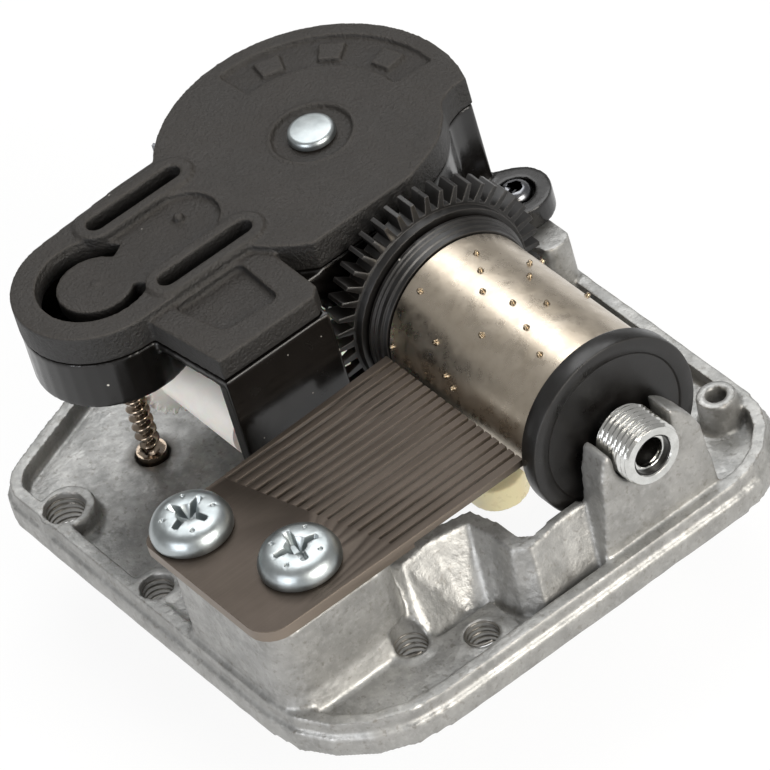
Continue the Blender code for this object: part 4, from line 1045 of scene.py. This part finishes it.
@dataclass
class SpringBarrel:
    """The plastic cover and housing, the mainspring in them and the screw that holds the housing."""

    shop: Workshop
    voxel: float = 0.13
    rim_proud: float = 0.3
    seam_drop: float = 0.2
    # Each plain bar in the arc recess as its middle in degrees.
    bars: tuple[float, ...] = (104.0, 134.0, 164.0)
    bar_span: float = 12.0
    bar_inner: float = 8.3
    bar_outer: float = 10.1
    # The lug's radius, its counterbore, how far it reaches back, and its lower and upper face.
    lug_radius: float = 2.8
    lug_bore: float = 1.55
    lug_reach: float = 2.1
    lug_span: tuple[float, float] = (7.52, 9.5)
    screw_share: float = 0.76

    def build(self) -> None:
        """Place the cover, the housing and what they hold."""
        top = self.shop.high("housing_cover").z - self.rim_proud
        barrel = self.shop.middle("winding_arbor")
        worm = self.shop.middle("fly_hub")
        lowered = self.shop.copy("housing_cover")
        lowered.transform(Matrix.Translation((0, 0, -self.seam_drop)))
        solids = [self.shop.copy("housing_cover"), lowered]
        for middle in self.bars:
            start, end = middle - self.bar_span / 2, middle + self.bar_span / 2
            outline = arc(self.bar_outer, start, end, 8) + arc(self.bar_inner, end, start, 8)
            bar = prism(outline, top - 0.7, top - 0.02)
            bar.transform(Matrix.Translation((barrel.x, barrel.y, 0)))
            solids.append(bar)
        lip = [(3.42, top - 0.3), (3.42, top + 0.05), (3.3, top + 0.12)]
        lip += [(3.14, top + 0.05), (3.14, top - 0.3)]
        solids.append(lathe(lip, Axis.Z, Vector((barrel.x, barrel.y, 0)), 96, cyclic=True))
        pip = [(0.01, top + 0.15), (0.3, top + 0.1), (0.42, top - 0.1), (0.42, top - 0.9), (0.01, top - 0.9)]
        solids.append(lathe(pip, Axis.Z, Vector((worm.x - 0.55, worm.y + 8.35, 0)), 24))
        dimple = [(0.01, top - 0.36), (0.32, top - 0.4), (0.42, top - 0.6), (0.01, top - 0.7)]
        solids.append(lathe(dimple, Axis.Z, Vector((worm.x, worm.y, 0)), 24))
        cover = fused(solids, self.voxel, 3)
        self.shop.place("top_cover", cover, COVER_ABS, "housing_cover")
        housing = fused([self.shop.copy("spring_housing"), self.lug(barrel)], self.voxel, 8)
        self.shop.place("lower_housing", housing, SMOOTH_ACETAL, "spring_housing")
        self.shop.dress("mainspring", "mainspring_strip", SPRING_STEEL)
        screw = bevelled(self.shop.copy("housing_screw"), 0.04)
        post = self.shop.middle("housing_screw")
        slim = Matrix.Diagonal((self.screw_share, self.screw_share, 1, 1))
        screw.transform(Matrix.Translation(post) @ slim @ Matrix.Translation(-post))
        self.shop.place("housing_lug_screw", screw, SPRING_STEEL, "housing_screw")
        self.shop.dress("gear_end_bearing", "cylinder_bearing", BRASS)

    def lug(self, barrel: Vector) -> Mesh:
        """The wide round-ended lug over the post, with a counterbore for its screw.

        Args:
            barrel: the middle of the barrel.

        Returns:
            The mesh.
        """
        post = self.shop.middle("housing_screw")
        reach = Vector((post.x - barrel.x, post.y - barrel.y))
        heading = math.degrees(math.atan2(reach.y, reach.x))
        inward = -reach.normalized() * self.lug_reach
        outline = arc(self.lug_radius, heading - 90, heading + 90, 16)
        back = arc(self.lug_radius, heading + 90, heading + 270, 16)
        outline += [(x + inward.x, y + inward.y) for x, y in back]
        low, high = self.lug_span
        solid = prism(outline, low, high)
        seat = [(0.01, high + 1), (self.lug_bore, high + 1), (self.lug_bore, high - 0.9), (0.01, high - 0.9)]
        solid = carved(solid, lathe(seat, Axis.Z, ORIGIN, 40))
        shank = [(0.01, high + 1), (1.0, high + 1), (1.0, low - 1), (0.01, low - 1)]
        solid = carved(solid, lathe(shank, Axis.Z, ORIGIN, 24))
        solid.transform(Matrix.Translation((post.x, post.y, 0)))
        return solid


@dataclass
class PinnedCylinder:
    """The nickel cylinder with its pins, its gear, collar and flange, and the bush that it turns in."""

    shop: Workshop
    wall: float = 0.5
    radius: float = 6.56
    pin_radius: float = 0.2
    pin_rise: float = 0.3
    flange_radius: float = 7.34
    bush_radius: float = 2.54
    bush_bore: float = 1.65
    arbor_radius: float = 0.9
    teeth: int = 18
    # The tune's pins as (comb tooth, degrees round the cylinder from +Y towards +Z).
    melody: list[tuple[int, float]] = field(default_factory=lambda: [
        (2, 77), (4, 86), (6, 97), (1, 121), (9, 91), (11, 76), (12, 99), (9, 120), (15, 108), (5, 142),
        (7, 158), (8, 163), (0, 166), (5, 52), (7, 65),
        *(((7 * i) % 18, 185 + 9.5 * i) for i in range(24)),
    ])

    def build(self) -> None:
        """Place the cylinder's pieces and the bush."""
        low, high = self.shop.low("cylinder_sleeve"), self.shop.high("cylinder_sleeve")
        arbor = self.shop.middle("cylinder_arbor")
        centre = Vector((0, arbor.y, arbor.z))
        inner = self.radius - self.wall
        tube = [(self.radius - 0.05, low.x), (self.radius, low.x + 0.05), (self.radius, high.x - 0.05)]
        tube += [(self.radius - 0.05, high.x), (inner, high.x), (inner, low.x)]
        self.shop.place("nickel_sleeve", lathe(tube, Axis.X, centre, 180, True), NICKEL, "cylinder_sleeve")
        self.shop.place("music_pins", self.pins(low.x, high.x, centre), PIN_STEEL, "cylinder_sleeve", False)
        gear = bevelled(self.shop.copy("cylinder_gear"), 0.04, 1)
        self.shop.place("driving_gear", gear, ACETAL_PAINTED_SHEEN, "cylinder_gear")
        self.shop.place("gear_collar", self.collar(centre, inner), ACETAL_PAINTED_SHEEN, "cylinder_collar")
        self.shop.place("end_flange", self.flange(centre, inner), ACETAL_PAINTED_SHEEN, "cylinder_flange")
        self.shop.dress("cylinder_arbor", "cylinder_shaft", BRIGHT_STEEL)
        self.shop.place("bush_thread", self.bush(centre), BRIGHT_STEEL, "threaded_bush")
        mouth = self.shop.high("threaded_bush").x
        # Painted shade: a near-black lining inside the bush's bore.
        lining_profile = [(1.63, mouth - 0.15), (1.63, mouth - 2.85), (0.01, mouth - 2.85), (0.01, mouth - 2.7)]
        lining_profile += [(1.55, mouth - 2.7), (1.55, mouth - 0.15)]
        self.shop.place("bore_shade_lining", lathe(lining_profile, Axis.X, centre, 72, True), BORE_SHADE, "threaded_bush", False)

    def pins(self, low: float, high: float, centre: Vector) -> Mesh:
        """The music pins, each a short peg with a domed end.

        Args:
            low: where the sleeve starts along X.
            high: where it ends.
            centre: a point on the cylinder's axis.

        Returns:
            All the pins in one mesh.
        """
        start = low
        pitch = (high - low) / self.teeth
        root, tip = self.radius - 0.2, self.radius + self.pin_rise
        made = []
        for tooth, angle in self.melody:
            peg = lathe([(self.pin_radius * 1.35, root), (self.pin_radius * 1.35, self.radius + 0.02),
                         (self.pin_radius, self.radius + 0.07), (self.pin_radius * 0.9, tip - 0.08),
                         (self.pin_radius * 0.55, tip - 0.01), (0.01, tip)], Axis.Z, ORIGIN, 14)
            spot = Matrix.Translation(centre + Vector((start + (tooth + 0.5) * pitch, 0, 0)))
            peg.transform(spot @ Matrix.Rotation(math.radians(angle - 90), 4, "X"))
            made.append(peg)
        return merged(made)

    def collar(self, centre: Vector, inner: float) -> Mesh:
        """The collar between gear and sleeve, turned with grooves like a record's."""
        x0, x1 = self.shop.low("cylinder_collar").x, self.shop.high("cylinder_collar").x
        bore = self.arbor_radius + 0.15
        step = x1 - 1.6
        profile = [(bore, x1), (inner - 0.15, x1), (inner - 0.15, step), (self.radius + 0.15, step)]
        profile += [(self.radius + 0.24, step - 0.35), (6.95, step - 0.45)]
        profile += [(7.0, step - 0.85), (7.12, step - 0.95)]
        profile += [(7.14, x0 + 0.35), (7.26, x0 + 0.25), (7.26, x0), (bore, x0)]
        return lathe(profile, Axis.X, centre, 144, True)

    def flange(self, centre: Vector, inner: float) -> Mesh:
        """The end flange, dished on its outer face."""
        x0, x1 = self.shop.low("cylinder_flange").x + 1.6, self.shop.high("cylinder_flange").x
        bore, radius = self.arbor_radius + 0.15, self.flange_radius
        profile = [(bore, x1 - 0.12), (radius - 1.4, x1 - 0.12)]
        profile += [(radius - 1.3, x1 - 0.05), (radius - 1.22, x1)]
        profile += [(radius - 0.2, x1), (radius - 0.06, x1 - 0.06), (radius, x1 - 0.2)]
        profile += [(radius, x0 + 0.2), (radius - 0.1, x0), (inner - 0.15, x0)]
        profile += [(inner - 0.15, x0 - 1.6), (bore, x0 - 1.6)]
        return lathe(profile, Axis.X, centre, 160, True)

    def bush(self, centre: Vector) -> Mesh:
        """The bright bush with a fine thread outside and a counterbore with a ring in it."""
        x0, x1 = self.shop.low("threaded_bush").x, self.shop.high("threaded_bush").x
        thread = Thread(
            self.bush_radius, 0.2, 0.5, x0, x1, self.bush_bore, 2.9, chamfer=0.2, crest_share=0.15, sides=96
        )
        ring = [(self.bush_bore + 0.05, x1 - 0.5), (self.bush_bore + 0.05, x1 - 1.0), (1.28, x1 - 1.0),
                (1.22, x1 - 0.9), (1.22, x1 - 0.56), (1.28, x1 - 0.5)]
        return merged([thread.mesh(Axis.X, centre), lathe(ring, Axis.X, centre, 72, True)])


@dataclass
class WheelTrain:
    """The nylon wheels between the cylinder and the worm, and their axles."""

    shop: Workshop

    def build(self) -> None:
        """Place the wheels and axles."""
        for node, name in (("first_wheel", "first_nylon_wheel"), ("drum_wheel", "nylon_drum")):
            self.shop.place(name, bevelled(self.shop.copy(node), 0.04, 1), NYLON, node)
        self.shop.dress("first_axle", "first_axle_pin", BRIGHT_STEEL)
        self.shop.dress("drum_axle", "drum_axle_pin", BRIGHT_STEEL)


@dataclass
class Governor:
    """The worm and the air-brake fly on it."""

    shop: Workshop
    root: float = 0.5
    crest: float = 0.92
    lead: float = 0.9503

    def build(self) -> None:
        """Place the worm, its fly and its pivot cup."""
        self.shop.place("governor_screw", self.worm(), OILED_STEEL, "governor_worm")
        self.shop.dress("fly_hub", "brass_fly_hub", BRASS)
        for i in (1, 2):
            node = f"fly_vane_{i}"
            self.shop.place(f"nylon_vane_{i}", bevelled(self.shop.copy(node), 0.06), NYLON, node)
        self.shop.dress("worm_pivot_cup", "pivot_oil_cup", OILED_STEEL)

    def worm(self) -> Mesh:
        """The worm: a rolled round thread between a pointed foot and a plain top."""
        centre = self.shop.middle("fly_hub")
        low, high = self.shop.low("governor_worm").z, self.shop.high("governor_worm").z
        thread_low, thread_high = low + 0.6, low + 9.9
        start = self.shop.middle("drum_wheel").z + self.lead / 2
        sides, rings = 40, [around(0.03, low, 40), around(0.14, low + 0.05, 40)]
        count = round((thread_high - thread_low) / self.lead * 16)
        for i in range(count + 1):
            height = thread_low + (thread_high - thread_low) * i / count
            fade = min(1.0, (height - thread_low) / 0.5, (thread_high - height) / 0.5)
            ring = around(1.0, height, sides)
            for j, point in enumerate(ring):
                phase = (height - start) / self.lead - (j / sides - 0.25)
                swell = max(0.0, math.cos(2 * math.pi * phase)) ** 0.8
                radius = self.root + (self.crest - self.root) * swell * fade
                point.x, point.y = point.x * radius, point.y * radius
            rings.append(ring)
        rings += [around(self.root, high - 0.4, sides), around(self.root * 0.8, high, sides)]
        return stand(skin(rings), Axis.Z, Vector((centre.x, centre.y, 0)))


@dataclass
class WindingSide:
    """The great wheel, its clutch spring, the arbor with its riveted head, and the key."""

    shop: Workshop
    shaft: float = 1.3

    def build(self) -> None:
        """Place the winding pieces."""
        wheel = bevelled(self.shop.copy("great_wheel"), 0.05, 1)
        self.shop.place("nylon_crown_wheel", wheel, NYLON, "great_wheel")
        low, high = self.shop.low("clutch_spring"), self.shop.high("clutch_spring")
        centre = self.shop.middle("winding_arbor")
        line = helix(2.1, 0.62, low.z + 0.24, high.z - 0.24, Vector((centre.x, centre.y, 0)))
        self.shop.place("clutch_coil", wire(line, 0.24), SPRING_STEEL, "clutch_spring")
        self.shop.place("winding_shaft", self.arbor(), ZINC_PLATE, "winding_arbor")
        key = fused([self.shop.copy("winding_key")], 0.2, 3)
        self.shop.place("cream_key", key, CREAM, "winding_key")

    def arbor(self) -> Mesh:
        """The arbor with the flat, slightly spread head that holds it over the cover."""
        centre = self.shop.middle("winding_arbor")
        top, low = self.shop.high("winding_arbor").z, self.shop.low("winding_arbor").z
        profile = [(0.01, top), (1.5, top - 0.01), (1.68, top - 0.05), (1.8, top - 0.16)]
        profile += [(1.87, top - 0.45), (1.87, top - 0.7), (self.shaft, top - 0.75), (self.shaft, low + 7.0)]
        profile += [(self.shaft - 0.2, low + 6.8), (self.shaft - 0.2, low), (0.01, low)]
        return lathe(profile, Axis.Z, Vector((centre.x, centre.y, 0)), 96)


# -------------------------------------------------------------------------------- studio
@dataclass
class Studio:
    """The camera, the soft lights and the pale floor."""

    heading: float = 64.44
    elevation: float = 42.02
    roll: float = -17.22
    distance: float = 587.85
    aim: tuple[float, float, float] = (-0.455, 2.81, 6.0)
    lens: float = 368.27
    floor_half: float = 600.0

    def camera(self) -> None:
        """Set the camera at its viewing angle."""
        data = bpy.data.cameras.new("camera")
        data.lens = self.lens
        data.sensor_width = 36
        data.clip_end = 5
        obj = bpy.data.objects.new("camera", data)
        bpy.context.scene.collection.objects.link(obj)
        turn, tilt = math.radians(self.heading), math.radians(self.elevation)
        back = Vector((math.sin(turn) * math.cos(tilt), -math.cos(turn) * math.cos(tilt), math.sin(tilt)))
        look = (-back).to_track_quat("-Z", "Y").to_matrix().to_4x4()
        place = Matrix.Translation((Vector(self.aim) + back * self.distance) * MM)
        obj.matrix_world = place @ look @ Matrix.Rotation(math.radians(self.roll), 4, "Z")
        bpy.context.scene.camera = obj

    def lamp(
        self, name: str, place: tuple[float, float, float], size: float, power: float, colour: str
    ) -> None:
        """Add a square area lamp that looks at the movement.

        Args:
            name: the lamp's name.
            place: where it hangs.
            size: its side.
            power: its power in watts.
            colour: its colour.
        """
        data = bpy.data.lights.new(name, "AREA")
        data.shape = "SQUARE"
        data.size = size * MM
        data.energy = power
        data.color = linear(colour)[:3]
        obj = bpy.data.objects.new(name, data)
        bpy.context.scene.collection.objects.link(obj)
        obj.location = Vector(place) * MM
        obj.rotation_euler = (-Vector(place)).to_track_quat("-Z", "Y").to_euler()

    def seen_white(self, tree: bpy.types.NodeTree) -> Socket:
        """A mask that is 1 for camera, glossy and transmission rays."""
        path = add_node(tree, "ShaderNodeLightPath")
        first = add_node(
            tree,
            "ShaderNodeMath",
            {"operation": "MAXIMUM"},
            {0: path.outputs["Is Camera Ray"], 1: path.outputs["Is Glossy Ray"]},
        )
        both = add_node(
            tree,
            "ShaderNodeMath",
            {"operation": "MAXIMUM"},
            {0: first.outputs[0], 1: path.outputs["Is Transmission Ray"]},
        )
        return both.outputs[0]

    def floor(self, height: float) -> None:
        """Lay a pale floor that looks white and still takes a soft shadow.

        Args:
            height: how high it lies.
        """
        bm = bmesh.new()
        bmesh.ops.create_grid(bm, x_segments=2, y_segments=2, size=self.floor_half * MM)
        mesh = bpy.data.meshes.new("floor")
        bm.to_mesh(mesh)
        bm.free()
        obj = bpy.data.objects.new("floor", mesh)
        bpy.context.scene.collection.objects.link(obj)
        obj.location = (0, 0, height * MM)
        made = bpy.data.materials.new("white_paper_sweep")
        made.use_nodes = True
        tree = made.node_tree
        tree.nodes.clear()
        paper = add_node(tree, "ShaderNodeBsdfDiffuse", {"Color": linear("#f2f2f1")})
        glow = add_node(tree, "ShaderNodeEmission", {"Color": (1, 1, 1, 1), "Strength": 1.0})
        white = self.seen_white(tree)
        share = add_node(tree, "ShaderNodeMath", {"operation": "MULTIPLY", 1: 0.9}, {0: white})
        mix = add_node(
            tree, "ShaderNodeMixShader", None, {0: share.outputs[0], 1: paper.outputs[0], 2: glow.outputs[0]}
        )
        add_node(tree, "ShaderNodeOutputMaterial", None, {"Surface": mix.outputs[0]})
        mesh.materials.append(made)
        obj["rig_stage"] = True

    def air(self, strength: float) -> None:
        """Fill the studio with soft light, white where the camera or a reflection sees it.

        Args:
            strength: the light's strength on the movement.
        """
        world = bpy.data.worlds.new("studio")
        bpy.context.scene.world = world
        world.use_nodes = True
        tree = world.node_tree
        tree.nodes.clear()
        soft = add_node(tree, "ShaderNodeBackground", {"Color": (1, 0.99, 0.975, 1), "Strength": strength})
        white = add_node(tree, "ShaderNodeBackground", {"Color": (1, 1, 1, 1), "Strength": 1.0})
        path = add_node(tree, "ShaderNodeLightPath")
        mix = add_node(
            tree,
            "ShaderNodeMixShader",
            None,
            {0: path.outputs["Is Camera Ray"], 1: soft.outputs[0], 2: white.outputs[0]},
        )
        add_node(tree, "ShaderNodeOutputWorld", None, {"Surface": mix.outputs[0]})

    def build(self, floor_height: float) -> None:
        """Light the movement.

        Args:
            floor_height: where the floor lies.
        """
        self.floor(floor_height)
        self.air(0.4)
        self.lamp("top_softbox", (-150, 120, 380), 340, 1.2, "#ffffff")
        self.lamp("side_softbox", (330, 60, 150), 220, 1.5, "#fffaf2")
        self.lamp("front_card", (120, -360, 130), 220, 0.8, "#f8faff")


def main() -> None:
    """Build every sub-assembly round the frame."""
    logging.basicConfig(level=logging.INFO, format="%(message)s")
    for obj in list(bpy.data.objects):
        bpy.data.objects.remove(obj, do_unlink=True)
    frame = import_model()
    studio = Studio()
    studio.camera()
    cad_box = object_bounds()
    bpy.context.scene.view_settings.view_transform = "Standard"
    shop = Workshop(frame)
    for assembly in (Casting, CombSet, SpringBarrel, PinnedCylinder, WheelTrain, Governor, WindingSide):
        LOG.info("building %s", assembly.__name__)
        assembly(shop).build()
    studio.build(cad_box[0].z / MM)


if __name__ == "__main__":
    main()
